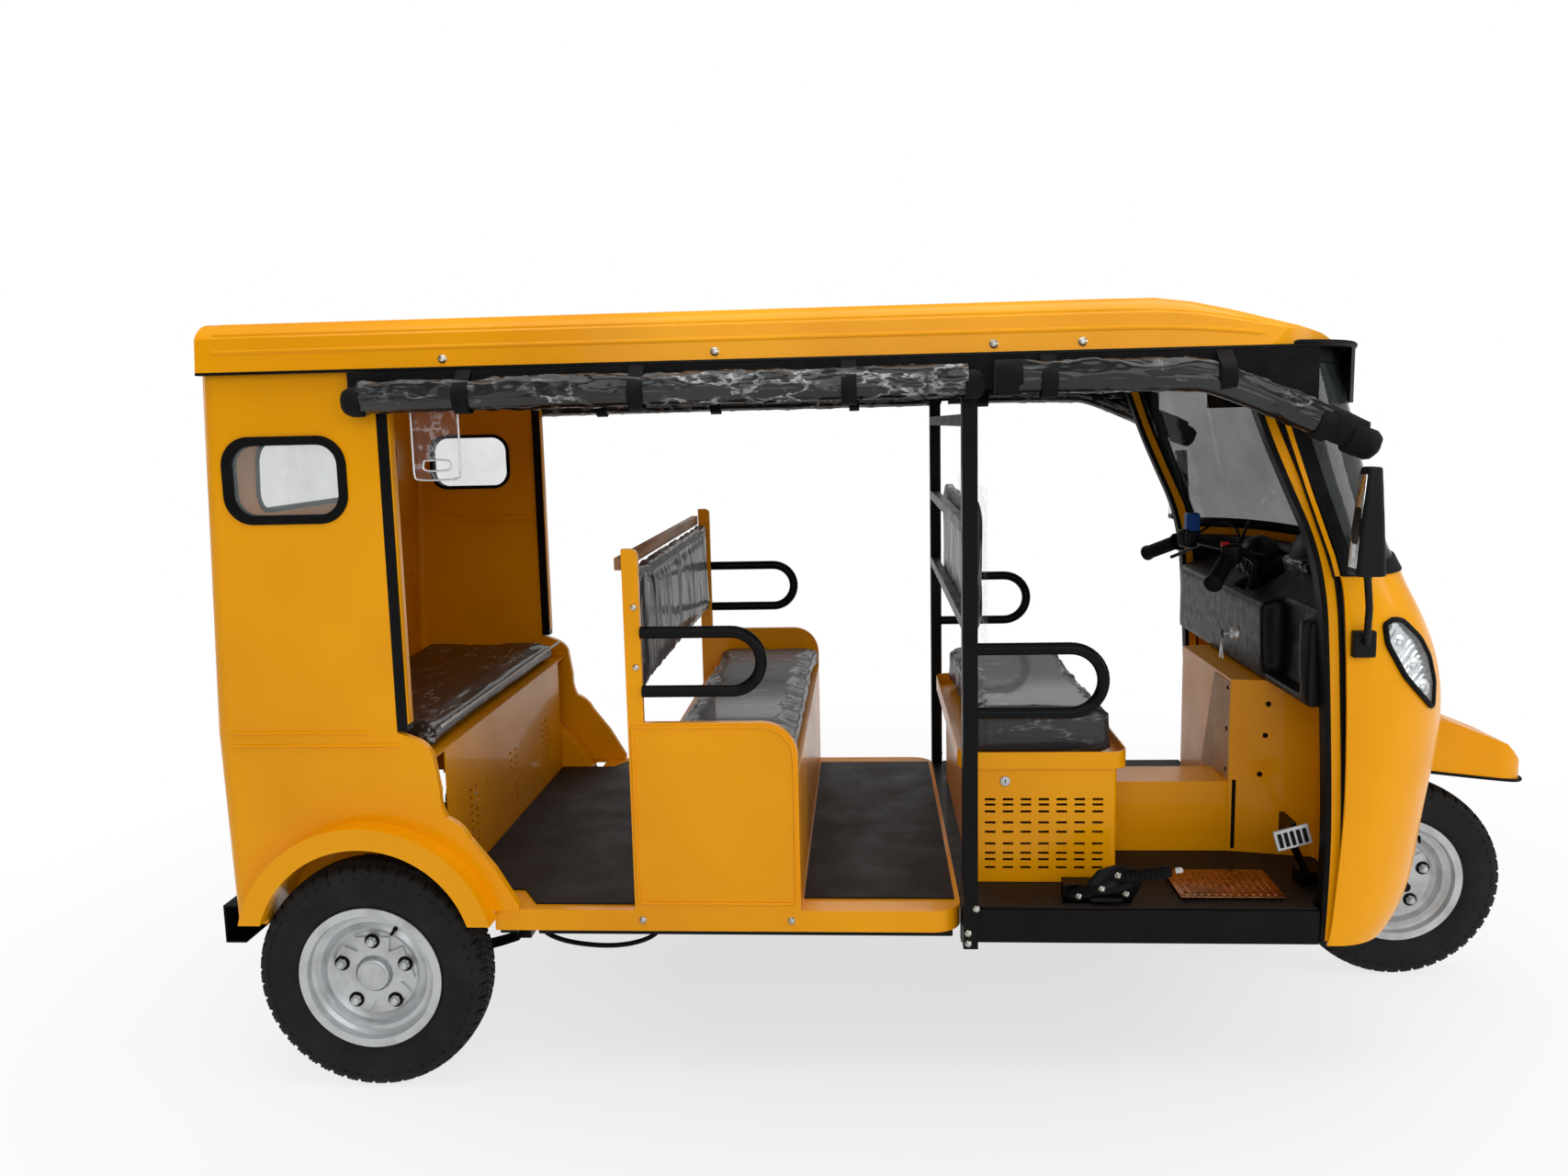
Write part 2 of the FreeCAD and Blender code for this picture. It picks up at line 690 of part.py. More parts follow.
def rearSeat():
    face, top, t = d.rearSeatFaceX, d.rearSeatTopZ, d.sheet
    half = d.linerY - d.sheet - 1
    back = d.bodyRearX + d.panelWall + 14
    seat = newBody("rear_seat_box")
    pad(seat, "XZ", -half, half, [
        (face, d.floorTopZ - 40), (face, top), (back, top), (back, top - t), (face - t, top - t),
        (face - t, d.floorTopZ - 40)])
    for side in (-1, 1):
        y0, y1 = sorted((side * half, side * (d.bodyHalf - d.panelWall)), key=float)
        pad(seat, "XY", top - t, top, rectangle(back + 20, face, y0, y1))
    for centre in (-340, 0, 330):
        slotColumns(seat, "YZ", face - t - 5, face + 5, centre - 20, [480 + 20 * k for k in range(8)], 2)
    keep("rear_seat_box", seat)
    cushion = newBody("rear_seat_cushion")
    pad(cushion, "XY", top + 0.3, d.rearCushionTopZ,
        rounded(back + 4, face + 6, -d.rearCushionHalf, d.rearCushionHalf, 18))
    keep("rear_seat_cushion", cushion)


def middleSeat():
    post, width, front = d.middlePostX, d.postWidth, d.middleSeatFrontX
    z0, t, corner = d.floorTopZ, d.sheet, d.middleSideCorner
    frame = newBody("middle_seat_frame")
    wall = 18
    inner = d.floorHalf - wall
    pad(frame, "XZ", -inner - 1, inner + 1, [
        (post + width, z0), (front, z0), (front, d.middleSeatTopZ), (post + width, d.middleSeatTopZ),
        (post + width, d.middleSeatTopZ - t), (front - t, d.middleSeatTopZ - t), (front - t, z0 + t),
        (post + width, z0 + t)])
    for side in (-1, 1):
        y0, y1 = sorted((side * d.floorHalf, side * inner), key=float)
        pad(frame, "XZ", y0, y1, [
            (post, z0), (front, z0), (front, d.middleSideTopZ - corner),
            (front - corner, d.middleSideTopZ, corner, 1), (post + width, d.middleSideTopZ),
            (post + width, d.middlePostTopZ - 16), (post + width - 16, d.middlePostTopZ, 16, 1),
            (post, d.middlePostTopZ)])
    keep("middle_seat_frame", frame)
    cushion = newBody("middle_seat_cushion")
    pad(cushion, "XY", d.middleSeatTopZ + 0.3, d.middleCushionTopZ,
        rounded(post + width + 10, front + 20, -inner + 1, inner - 1, 18))
    keep("middle_seat_cushion", cushion)
    back = newBody("middle_seat_back")
    x1 = post + width + 8
    pad(back, "XZ", -inner + 0.3, inner - 0.3, [
        (x1 - d.backThickness, d.middleBackLowZ), (x1, d.middleBackLowZ),
        (x1 - 14, d.middleBackTopZ), (x1 - 14 - d.backThickness, d.middleBackTopZ)])
    keep("middle_seat_back", back)


def armrest(label, side, x0, x1, z0, z1):
    """A U of round tube that lies in a lengthwise plane."""
    r = d.armTube
    rise = (z1 - z0) / 2
    bend = rise
    parts = []
    for z in (z0, z1):
        tube = doc.addObject("Part::Cylinder", label + "Bar")
        bind(tube, "Radius", r)
        bind(tube, "Height", x1 - bend - x0)
        tube.Placement.Rotation = FreeCAD.Rotation(V(0, 1, 0), 90)
        place(tube, x0, side * (d.floorHalf - 3), z)
        parts.append(tube)
    ring = doc.addObject("Part::Torus", label + "Bend")
    bind(ring, "Radius1", bend)
    bind(ring, "Radius2", r)
    ring.Angle3 = 180
    ring.Placement.Rotation = FreeCAD.Rotation(V(1, 0, 0), 90) * FreeCAD.Rotation(V(0, 0, 1), -90)
    place(ring, x1 - bend, side * (d.floorHalf - 3), (z0 + z1) / 2)
    parts.append(ring)
    return fuse(label, *parts)


def armrests():
    arms = []
    for side in (-1, 1):
        start = d.middlePostX + d.postWidth
        arms.append(armrest("middleArm", side, start, asSize(-337 + 13.5), asSize(930), asSize(1063)))
        start = d.cabPostX + d.cabPostWidth
        arms.append(armrest("driverArm", side, start, asSize(408 + 13.5), asSize(875), asSize(1018)))
    keep("armrests", *arms)


def driverSeat():
    x0, x1, half, t = d.driverBoxRearX, d.driverBoxFrontX, d.driverBoxHalf, d.sheet
    z0 = d.cabFloorTopZ
    seat = newBody("driver_seat_box")
    pad(seat, "XY", z0, d.driverBoxTopZ, rounded(x0, x1, -half, half, 14))
    cut(seat, "XY", z0, d.driverBoxTopZ - t, rounded(x0 + t, x1 - t, -half + t, half - t, 14 - t))
    pad(seat, "XY", d.driverBoxTopZ - 1, d.trayTopZ,
        rounded(x0 - 30, d.trayFrontX, -half - 12, half + 12, 40))
    cut(seat, "XY", d.driverBoxTopZ + 14, d.trayTopZ,
        rounded(x0 - 30 + t, d.trayFrontX - t, -half - 12 + t, half + 12 - t, 40 - t))
    rows = [452, 472, 488, 511, 540, 563, 590, 607, 620]
    slotColumns(seat, "XZ", -half - 1, -half + t + 1, x0 + 45, rows, 7)
    keep("driver_seat_box", seat)
    cushion = newBody("driver_seat_cushion")
    pad(cushion, "XY", d.driverBoxTopZ + 14.3, d.driverCushionTopZ,
        rounded(x0 - 20, d.trayFrontX - t - 3, -half - 4, half + 4, 40))
    keep("driver_seat_cushion", cushion)
    back = newBody("driver_seat_back")
    px = d.cabPostX + d.cabPostWidth
    pad(back, "YZ", px - 9.7, px + 34, rounded(-d.driverBackHalf, d.driverBackHalf,
                                              d.driverBackLowZ, d.driverBackTopZ, 40))
    keep("driver_seat_back", back)


def roofFrame():
    parts = []
    top = d.roofEdgeZ
    x, w, half = d.cabPostX, d.cabPostWidth, d.floorHalf
    for side in (-1, 1):
        y0, y1 = sorted((side * d.bodyHalf, side * d.cabHalf), key=float)
        parts.append(box("post", x + 5, x + w, y0, y1, d.cabSillLowZ, top))
        parts.append(box("rail", d.doorEdgeX, d.headerX, y0, y1, top - d.railDepth, top))
        parts.append(box("doorPost", d.doorEdgeX, d.doorEdgeX + 24, y0, y1, d.beltZ + 4, top))
        y0, y1 = sorted((side * d.bodyHalf, side * (d.roofHalf + 1)), key=float)
        parts.append(box("gutter", d.roofRearX, 860, y0, y1, top - 6, top))
    for z in (1060, 1270, 1500):
        parts.append(box("bar", x + 5, x + 28, -d.cabHalf, d.cabHalf, z, z + 26))
    for bx in (d.doorEdgeX, -600, x + 5, 400):
        parts.append(box("bow", bx, bx + 30, -d.cabHalf, d.cabHalf, top - 26, top - 1))
    parts.append(box("header", d.headerX - 40, d.headerX, -d.bodyHalf, d.bodyHalf, top - d.railDepth, top))
    keep("roof_frame", fuse("roofFrameParts", visor(), *parts))


def roofPlan(rear, z, inset):
    """The roof's outline from above, with its curved front edge."""
    side, front, half = numbers(d.roofSideEndX, d.roofFrontX, d.roofHalf)
    return Part.Face(frontWire(z, side, front, half, inset, side - rear))


def visor():
    """The black hood over the windscreen, with the plate that closes the roof behind it."""
    side, front, half, low, top, wall, edge = numbers(
        d.visorSideX, d.visorFrontX, d.visorHalf, d.visorLowZ, d.visorTopZ, d.visorWall, d.roofEdgeZ)
    back = side - float(d.headerX) + 20
    def slab(inset, z0, z1):
        return Part.Face(frontWire(z0, side, front, half, inset, back)).extrude(V(0, 0, z1 - z0))
    hood = slab(0, low, top).cut(slab(wall, low - 1, top + 1))
    hood = hood.common(Part.makeBox(300, 2 * half, 300, V(float(d.visorEndX), -half, low - 20)))
    return feature("visor", slab(0, edge - 3.7, edge).fuse(hood).removeSplitter())


ROOF_SLOPE = [(520, 120), (600, 108), (680, 86), (902, 15), (1040, 12)]


def roofSection(x, half, edge, top, inset):
    """One cross-section of the roof: low side walls, round shoulders and a slight crown."""
    rise = top - edge
    side = half - inset
    def spot(y, share):
        return V(x, y, edge + rise * share - inset * (share > 0))
    points = [spot(-side, 0), spot(-side + 8, 0.6), spot(-side + 90, 0.88), spot(0, 1), spot(side - 90, 0.88),
              spot(side - 8, 0.6), spot(side, 0)]
    edges = [Part.makeLine(points[0], points[1]),
             Part.Arc(points[1], spot(-side + 31, 0.79), points[2]).toShape(),
             Part.Arc(points[2], points[3], points[4]).toShape(),
             Part.Arc(points[4], spot(side - 31, 0.79), points[5]).toShape(),
             Part.makeLine(points[5], points[6]),
             Part.makeLine(points[6], points[0])]
    return Part.Wire(edges)


def roof():
    rear, half, edge, top, wall = numbers(d.roofRearX, d.roofHalf, d.roofEdgeZ, d.roofTopZ, d.roofWall)
    rise = top - edge
    def solid(inset):
        sections = [(rear + inset, rise)] + ROOF_SLOPE
        wires = [roofSection(x, half, edge, edge + height, inset) for x, height in sections]
        whole = Part.makeLoft(wires[:2], True, True)
        for index in range(1, len(wires) - 1):
            whole = whole.fuse(Part.makeLoft(wires[index:index + 2], True, True))
        return whole
    def trimmed(inset):
        outline = roofPlan(rear - 50, edge - 20, inset).extrude(V(0, 0, rise + 60))
        return solid(inset).common(outline)
    keep("roof_shell", feature("roof_shell", trimmed(0.0).cut(trimmed(wall))))


def curtains():
    pieces = []
    y, z, r = numbers(d.rollY, d.rollZ, d.rollRadius)
    edge = float(d.roofEdgeZ)
    for side in (-1, 1):
        roll = rod([(-1205, side * y, z), (150, side * y, z + 6), (612, side * y, z + 8),
                    (948, side * y, 1438)], r)
        y0 = side * (y - 20)
        top = edge - 6.3
        flap = Part.Face(Part.makePolygon([V(x, y0, h) for x, h in (
            (-1200, z), (612, z + 8), (838, z - 87), (838, top), (-1200, top), (-1200, z))]))
        flap = flap.extrude(V(0, -side * 14, 0))
        pieces.append(feature("curtain", roll.fuse(flap).removeSplitter()))
    keep("side_curtains", *pieces)


FRONT_LEVELS = [
    # height, side start X, front centre X, half width
    (332, 926, 1165, 600),
    (370, 931, 1192, 606),
    (425, 934, 1219, 610),
    (538, 941, 1241, 614),
    (650, 945, 1258, 617),
    (761, 944, 1279, 618),
    (892, 940, 1281, 618),
    (1000, 935, 1250, 617),
    (1094, 930, 1198, 614),
    (1165, 919, 1160, 611),
]

SCREEN_LEVELS = [(1165, 922, 1160, 611), (1207, 910, 1136, 608), (1350, 856, 1085, 606),
    (1500, 803, 1048, 604),
                 (1648, 752, 1008, 602)]


def frontWire(z, x0, x1, half, inset, back):
    """The rounded plan of the front body at a height, closed by a straight back."""
    half -= inset
    depth = x1 - inset - x0
    rows = [V(x0 - back, -half, z), V(x0, -half, z)]
    curve = []
    steps = 6
    for index in range(-steps, steps + 1):
        angle = math.pi / 2 * index / steps
        c, s = math.cos(angle), math.sin(angle)
        power = 0.78
        curve.append(V(x0 + depth * abs(c) ** power, math.copysign(half * abs(s) ** power, s), z))
    spline = Part.BSplineCurve()
    spline.interpolate(curve)
    ends = [V(x0 - back, half, z)]
    edges = [Part.makeLine(rows[0], curve[0]), spline.toShape(), Part.makeLine(curve[-1], ends[0]),
             Part.makeLine(ends[0], rows[0])]
    return Part.Wire(edges)


def frontLoft(levels, inset, back=40.0):
    wires = [frontWire(z, x0, x1, half, inset, back) for z, x0, x1, half in levels]
    return Part.makeLoft(wires, True, False)


def stretched(levels):
    """The levels with the first and last carried on a little, so that a cut goes through."""
    def onward(end, beside, reach):
        share = reach / abs(end[0] - beside[0])
        return tuple(value + (value - other) * share for value, other in zip(end, beside))
    return [onward(levels[0], levels[1], 6)] + levels[1:-1] + [onward(levels[-1], levels[-2], 6)]


def noseShell():
    wall = float(d.noseWall)
    outer = frontLoft(FRONT_LEVELS, 0.0, 0.0)
    inner = frontLoft(stretched(FRONT_LEVELS), wall, 60.0)
    shell = outer.cut(inner)
    half, top = numbers(d.noseArchHalf, d.noseArchTopZ)
    arch = roundedPrism("X", 1030, 1500, -half, half, 100, top, 90)
    shell = shell.cut(arch)
    for side in (-1, 1):
        shell = shell.cut(lampPrism(side, 1.0))
    keep("nose_shell", feature("nose_shell", shell))


LAMP_OUTLINE = [(1013, 1062), (1034, 1073), (1060, 1068), (1112, 1024), (1142, 978), (1157, 919), (1152, 858),
                (1106, 902), (1066, 943), (1020, 1018)]


def lampPrism(side, gap):
    """The headlamp's outline from the side, as a bar through the nose's flank."""
    wire = Part.makePolygon([V(x, side * 300, z) for x, z in LAMP_OUTLINE + LAMP_OUTLINE[:1]])
    if gap:
        wire = wire.makeOffset2D(gap)
    return Part.Face(wire).extrude(V(0, side * 400, 0))


def screen():
    """The bent windscreen and the rubber frame round it."""
    low, high, lip, band = numbers(d.screenLowZ, d.screenHighZ, d.screenLip, d.screenBand)
    levels = stretched(SCREEN_LEVELS)
    sheet = frontLoft(levels, 3.0, 0.0).cut(frontLoft(levels, 7.0, 60.0))
    zone = Part.makeBox(700, 1400, high - low - 2 * lip, V(600, -700, low + lip))
    keep("windscreen_glass", feature("windscreen_glass", sheet.common(zone)))
    ring = frontLoft(SCREEN_LEVELS, -3.0, 0.0).cut(frontLoft(levels, 2.0, 60.0))
    sides = [(x + band, z) for z, x, _, _ in SCREEN_LEVELS]
    edge = [(sides[0][0], low + band)] + sides[1:-1] + [(sides[-1][0], high - band)]
    hole = [V(x, -700, z) for x, z in edge] + [V(1400, -700, high - band), V(1400, -700, low + band)]
    hole = Part.Face(Part.makePolygon(hole + hole[:1])).extrude(V(0, 1400, 0))
    keep("windscreen_frame", feature("windscreen_frame", ring.cut(hole)))


def doorFrames():
    pillar = [(749, 1497), (813, 1350), (864, 1240), (890, 1130), (900, 1018), (918, 674), (921, 500), (915, 340)]
    frames = []
    for side in (-1, 1):
        frame = newBody("doorFrame")
        y0, y1 = sorted((side * (d.cabHalf - 8), side * (d.cabHalf - 40)), key=float)
        front = [(x + d.pillarWidth, z) for x, z in pillar]
        underRail = d.roofEdgeZ - d.railDepth - 0.3
        head = 706
        pad(frame, "XZ", y0, y1,
            [(head + d.pillarWidth, underRail)] + front + pillar[::-1] + [(head, underRail)])
        frames.append(frame)
        edge = newBody("screenPillar")
        y0, y1 = sorted((side * (d.cabHalf + 1), side * (d.cabHalf + 8)), key=float)
        line = [(x - 3, min(z, 1640)) for z, x, _, _ in SCREEN_LEVELS]
        behind = [(x - 10, z) for x, z in line]
        pad(edge, "XZ", y0, y1, line + behind[::-1])
        frames.append(edge)
    keep("door_frames", *frames)


def frontWall():
    t = 4.0
    z0, top, hump, side, wall = numbers(d.cabFloorTopZ, d.humpTopZ, d.humpRearX, d.humpSideY, d.wallX)
    outer = [V(wall, -560, z0), V(wall, -268, z0), V(hump, -side, z0), V(hump, side, z0), V(wall, 268, z0),
             V(wall, 560, z0)]
    inner = [V(wall + t, 560, z0), V(wall + t, 262, z0), V(hump + t, side - t, z0),
             V(hump + t, -side + t, z0), V(wall + t, -262, z0), V(wall + t, -560, z0)]
    face = Part.Face(Part.makePolygon(outer + inner + outer[:1]))
    shell = face.extrude(V(0, 0, top - z0))
    lid = Part.Face(Part.makePolygon([V(hump, -side, top), V(hump, side, top), V(wall, 268, top),
                                      V(wall, -268, top), V(hump, -side, top)])).extrude(V(0, 0, t))
    neck = Part.makeCylinder(60, 400, V(float(axisX(top)) + 80, 0, top - 200),
                             V(-float(d.rakeRun), 0, 1))
    shell = shell.fuse(lid).removeSplitter().cut(neck)
    keep("front_bulkhead", feature("front_bulkhead", shell))


def tunnel():
    body = newBody("gear_tunnel")
    t = d.sheet
    y0, y1, z0, z1 = -d.humpSideY, d.tunnelLeftY, d.cabFloorTopZ, d.tunnelTopZ
    pad(body, "XY", z0, z1, rectangle(d.driverBoxFrontX + 0.5, d.humpRearX - 0.5, y0, y1))
    cut(body, "XY", z0, z1 - t, rectangle(d.driverBoxFrontX + 0.5 + t, d.humpRearX - 0.5 - t, y0 + t, y1 - t))
    keep("gear_tunnel", body)


def dashboard():
    dash = newBody("dashboard")
    half = float(d.dashHalf)
    pad(dash, "XZ", -half, half, [
        (835, 890), (835, 985), (862, 1045), (940, 1075), (1010, 1125), (1130, 1140), (1130, 870), (870, 862)])
    cut(dash, "XY", 882, 1130, rounded(800, 925, -490, -250, 25))
    cut(dash, "XY", 800, 1200, rounded(900, 1090, -70, 70, 40))
    pad(dash, "XY", 1060, 1205, rounded(1045, 1125, -95, 95, 35))
    room = frontLoft(stretched(FRONT_LEVELS), float(d.noseWall) + 0.4, 60.0)
    for side in (-1, 1):
        room = room.cut(lampPrism(side, 3.0))
    end = float(d.dashEndX)
    plan = [V(835, -300, 600), V(end, -half, 600), V(1300, -half, 600), V(1300, half, 600), V(end, half, 600),
            V(835, 300, 600)]
    room = room.common(Part.Face(Part.makePolygon(plan + plan[:1])).extrude(V(0, 0, 700)))
    inside = feature("noseInside", room)
    item = doc.addObject("Part::Common", "fittedDash")
    item.Base = dash
    item.Tool = inside
    keep("dashboard", item)


def lamps():
    pieces = []
    outer = frontLoft(FRONT_LEVELS, -4.0, 0.0)
    inner = frontLoft(stretched(FRONT_LEVELS), 22.0, 60.0)
    shell = outer.cut(inner)
    for side in (-1, 1):
        pieces.append(feature("headlamp", shell.common(lampPrism(side, 0.0))))
    keep("headlamps", *pieces)
    tails = []
    rear = float(d.bodyRearX)
    for side in (-1, 1):
        y0 = side * 500 - 55
        lamp = roundedPrism("X", rear - 24, rear + 0.6, y0, y0 + 110, 720, 790, 16)
        tails.append(feature("tail", lamp))
    keep("tail_lamps", *tails)


def mirrors():
    """Each mirror: a housing that narrows upward, its arm and its foot on the nose."""
    pieces = []
    for side in (-1, 1):
        sections = []
        for z, x0, x1, half in ((1182, 893, 953, 31), (1290, 899, 947, 29), (1402, 910, 940, 25)):
            y = side * (760 - 31)
            sections.append(roundedPrism("Z", z, z + 1, x0, x1, y - half, y + half, 11).Faces)
        head = Part.makeLoft([lowestWire(faces) for faces in sections], True, True)
        arm = rod([(962, side * 600, 1024), (962, side * 650, 1030), (948, side * 690, 1110),
                   (926, side * 724, 1195)], 8)
        y0, y1 = sorted((side * 590, side * 640))
        foot = Part.makeBox(48, y1 - y0, 58, V(941, y0, 993))
        whole = arm.fuse(head).fuse(foot).cut(frontLoft(FRONT_LEVELS, -0.3, 60.0))
        pieces.append(feature("mirror", whole.removeSplitter()))
    keep("mirrors", *pieces)


def lowestWire(faces):
    """The outline of a prism's bottom face."""
    return min(faces, key=lambda face: face.CenterOfMass.z).OuterWire


def controls():
    z = float(d.cabFloorTopZ + d.matWall)
    pedal = rod([(940, -443, z + 12), (915, -443, z + 60), (876, -481, z + 130)], 9)
    pad0 = Part.makeBox(12, 80, 60, V(866, -521, z + 112))
    base = Part.makeBox(70, 50, 34, V(910, -468, z))
    lever = rod([(397, -540, z + 12), (440, -556, z + 50), (575, -600, z + 86)], 11)
    bracket = Part.makeBox(90, 46, 40, V(352, -562, z))
    keep("pedal_and_handbrake", feature("pedal", pedal.fuse(pad0).fuse(base).removeSplitter()),
         feature("handbrake", lever.fuse(bracket).removeSplitter()))


def drivetrain():
    axle, tube, radius = d.rearAxleX, d.axleTube, d.tyreRadius
    x, r, z, y, stub = numbers(axle, tube, radius, d.rearWheelY, d.hubBore)
    inner = y - 50 - float(d.runGap)
    shape = Part.makeCylinder(r, 2 * inner, V(x, -inner, z), V(0, 1, 0))
    shape = shape.fuse(Part.makeSphere(96, V(x, 0, z)))
    for side in (-1, 1):
        shape = shape.fuse(Part.makeCylinder(82, 10, V(x, side * (inner - 10), z), V(0, side, 0)))
        shape = shape.fuse(Part.makeCylinder(stub, y + 30 - inner + 10, V(x, side * (inner - 10), z),
                                             V(0, side, 0)))
    front = V(274.7, 0, 318)
    shaft = Part.makeCylinder(26, (front - V(x, 0, z)).Length, V(x, 0, z), front - V(x, 0, z))
    beyond = Part.makeBox(60, 100, 100, V(front.x, -50, front.z - 50))
    shape = shape.fuse(shaft).cut(beyond)
    keep("rear_axle", feature("rear_axle", shape.removeSplitter()))
    keep("engine_block", box("engine_block", 275, 470, -180, 180, 240, 640))


def springs():
    y, w, span, axle, tube, z = numbers(d.springY, d.springWidth, d.springHalf, d.rearAxleX, d.axleTube,
                                        d.tyreRadius)
    pieces = []
    low = z - tube - 0.3
    for side in (-1, 1):
        y0 = side * y - w / 2
        pack = None
        for index, reach in enumerate((span, span * 0.72, span * 0.44)):
            drop = 9.0 * index
            rise = float(d.springRise) * (reach / span) ** 2
            lift = low - drop
            top = Part.Arc(V(axle - reach, y0, lift + rise), V(axle, y0, lift), V(axle + reach, y0, lift + rise))
            under = Part.Arc(V(axle - reach, y0, lift + rise - 9.2), V(axle, y0, lift - 9.2),
                             V(axle + reach, y0, lift + rise - 9.2))
            ends = [Part.makeLine(V(axle + s * reach, y0, lift + rise),
                                  V(axle + s * reach, y0, lift + rise - 9.2)) for s in (1, -1)]
            wire = Part.Wire(Part.__sortEdges__([top.toShape(), ends[0], under.toShape(), ends[1]]))
            leaf = Part.Face(wire).extrude(V(0, w, 0))
            pack = leaf if pack is None else pack.fuse(leaf)
        pieces.append(feature("leafSpring", pack.removeSplitter()))
    keep("leaf_springs", *pieces)


def bumper():
    bar = newBody("rear_bumper")
    t = 4
    x0, z0, z1 = d.bumperRearX, d.bumperLowZ, d.bumperHighZ
    pad(bar, "XZ", asSize(-600), asSize(600), [
        (x0, z0), (x0 + 50, z0), (x0 + 50, z0 + t), (x0 + t, z0 + t), (x0 + t, z1 - t), (x0 + 34, z1 - t),
        (x0 + 34, z1), (x0, z1)])
    keep("rear_bumper", bar)


def cables():
    hook = float(d.railHighZ) - 4.2
    loop = [(-908, -470, hook), (-908, -470, 310), (-840, -468, 268), (-690, -466, 256), (-585, -470, 300),
            (-585, -470, hook)]
    keep("under_floor_cable", feature("under_floor_cable", tangentTube(loop, 6)))


def tangentTube(points, radius):
    """Straight runs joined by tangent arcs, swept as a round tube."""
    spots = [V(*p) for p in points]
    edges = []
    start = spots[0]
    for index in range(1, len(spots) - 1):
        before, here, after = spots[index - 1], spots[index], spots[index + 1]
        u, w = (before - here).normalize(), (after - here).normalize()
        reach = 0.45 * min((before - here).Length, (after - here).Length)
        a, b = here + u * reach, here + w * reach
        turn = math.pi - u.getAngle(w)
        bend = reach / math.tan(turn / 2)
        middle = (u + w).normalize()
        centre = here + middle * math.hypot(bend, reach)
        edges.append(Part.makeLine(start, a))
        edges.append(Part.Arc(a, centre - middle * bend, b).toShape())
        start = b
        print("bend radius", round(bend, 1))
    edges.append(Part.makeLine(start, spots[-1]))
    path = Part.Wire(edges)
    section = Part.Wire(Part.makeCircle(radius, spots[0], spots[1] - spots[0]))
    tube = path.makePipeShell([section], True, False)
    print("tube volume ratio", round(tube.Volume / (math.pi * radius ** 2 * path.Length), 4))
    return tube


def steering():
    z0, z1, stem, crown = numbers(d.crownZ, d.clampZ, d.stemRadius, d.crownZ)
    rake = float(d.rakeRun)
    run = V(-rake, 0, 1).normalize()
    foot = V(float(axisX(crown)), 0, crown)
    top = V(float(axisX(z1)), 0, z1)
    shape = Part.makeCylinder(stem, (top - foot).Length, foot, run)
    y, r = numbers(d.forkLegY, d.forkLegRadius)
    shape = shape.fuse(Part.makeCylinder(34, 28, foot - run * 14, run))
    axle = V(float(frontAxleX), 0, float(d.tyreRadius))
    for side in (-1, 1):
        shape = shape.fuse(rod([(foot.x, side * 10, foot.z), (foot.x + 14, side * y, foot.z - 20),
                                (axle.x, side * y, axle.z)], r))
    shape = shape.fuse(Part.makeCylinder(float(d.hubBore) - 3, 2 * y + 40, axle - V(0, y + 20, 0), V(0, 1, 0)))
    inside = float(d.guardHalf - d.guardWall) - 0.3
    for side in (-1, 1):
        stayY = side * (inside - 6)
        shape = shape.fuse(rod([(1200, stayY, 480), (1300, stayY, 650)], 6))
    shape = shape.fuse(Part.makeBox(52, 40, 12, V(1120, -20, 606)))
    shape = shape.fuse(Part.makeBox(8, 40, 84, V(1171.7, -20, 606)))
    keep("steering_fork", feature("steering_fork", shape.removeSplitter()))

    bar, grip, reach = numbers(d.barRadius, d.gripRadius, d.gripY)
    clamp = top + run * 12
    shape = Part.makeCylinder(26, 30, top + run * 0.3, run)
    for side in (-1, 1):
        line = [(clamp.x, 0, clamp.z), (clamp.x + 10, side * 60, clamp.z + 22), (812, side * 200, 1172),
                (736, side * reach, 1118)]
        shape = shape.fuse(rod(line, bar))
        a, b = V(793, side * 232, 1159), V(730, side * (reach + 10), 1114)
        shape = shape.fuse(Part.makeCylinder(grip, (b - a).Length, a, b - a))
    keep("handlebar", feature("handlebar", shape.removeSplitter()))

    keep("front_mudguard", feature("front_mudguard", guardSolid(0.0).cut(guardSolid(float(d.guardWall)))))


def guardSolid(inset):
    """The mudguard as a block, smaller by the inset on top and sides, with a front rounded from above."""
    half = float(d.guardHalf) - inset
    rear, tip, low = 1180 + inset, 1620 - inset, 40 if inset else 0
    outline = [(rear, 640 - low), (1359, 578 - low), (tip, 548 - low), (tip - 4, 590), (1559, 652 - inset),
               (1414, 712 - inset), (1231, 733 - inset), (rear, 702 - inset)]
    side = Part.makePolygon([V(x, -half, z) for x, z in outline + outline[:1]])
    block = Part.Face(side).extrude(V(0, 2 * half, 0))
    nose = roundedPrism("Z", low and 400, 800, 900, tip, -half, half, 82 - inset)
    return block.common(nose)


def writeParts():
    os.makedirs("parts", exist_ok=True)
    doc.recompute()
    faults = [o.Label for o in doc.Objects if "Invalid" in o.State or "Error" in o.State]
    for label, item in nodes.items():
        shape = item.Shape
        if shape.isNull() or not shape.isValid() or not shape.Solids:
            faults.append(label + " (shape)")
    if faults:
        raise RuntimeError("failed: " + ", ".join(faults))
    for label, item in nodes.items():
        item.Shape.exportStep("parts/%s.step" % label)
        print(label, len(item.Shape.Solids), round(item.Shape.Volume / 1e6, 3))


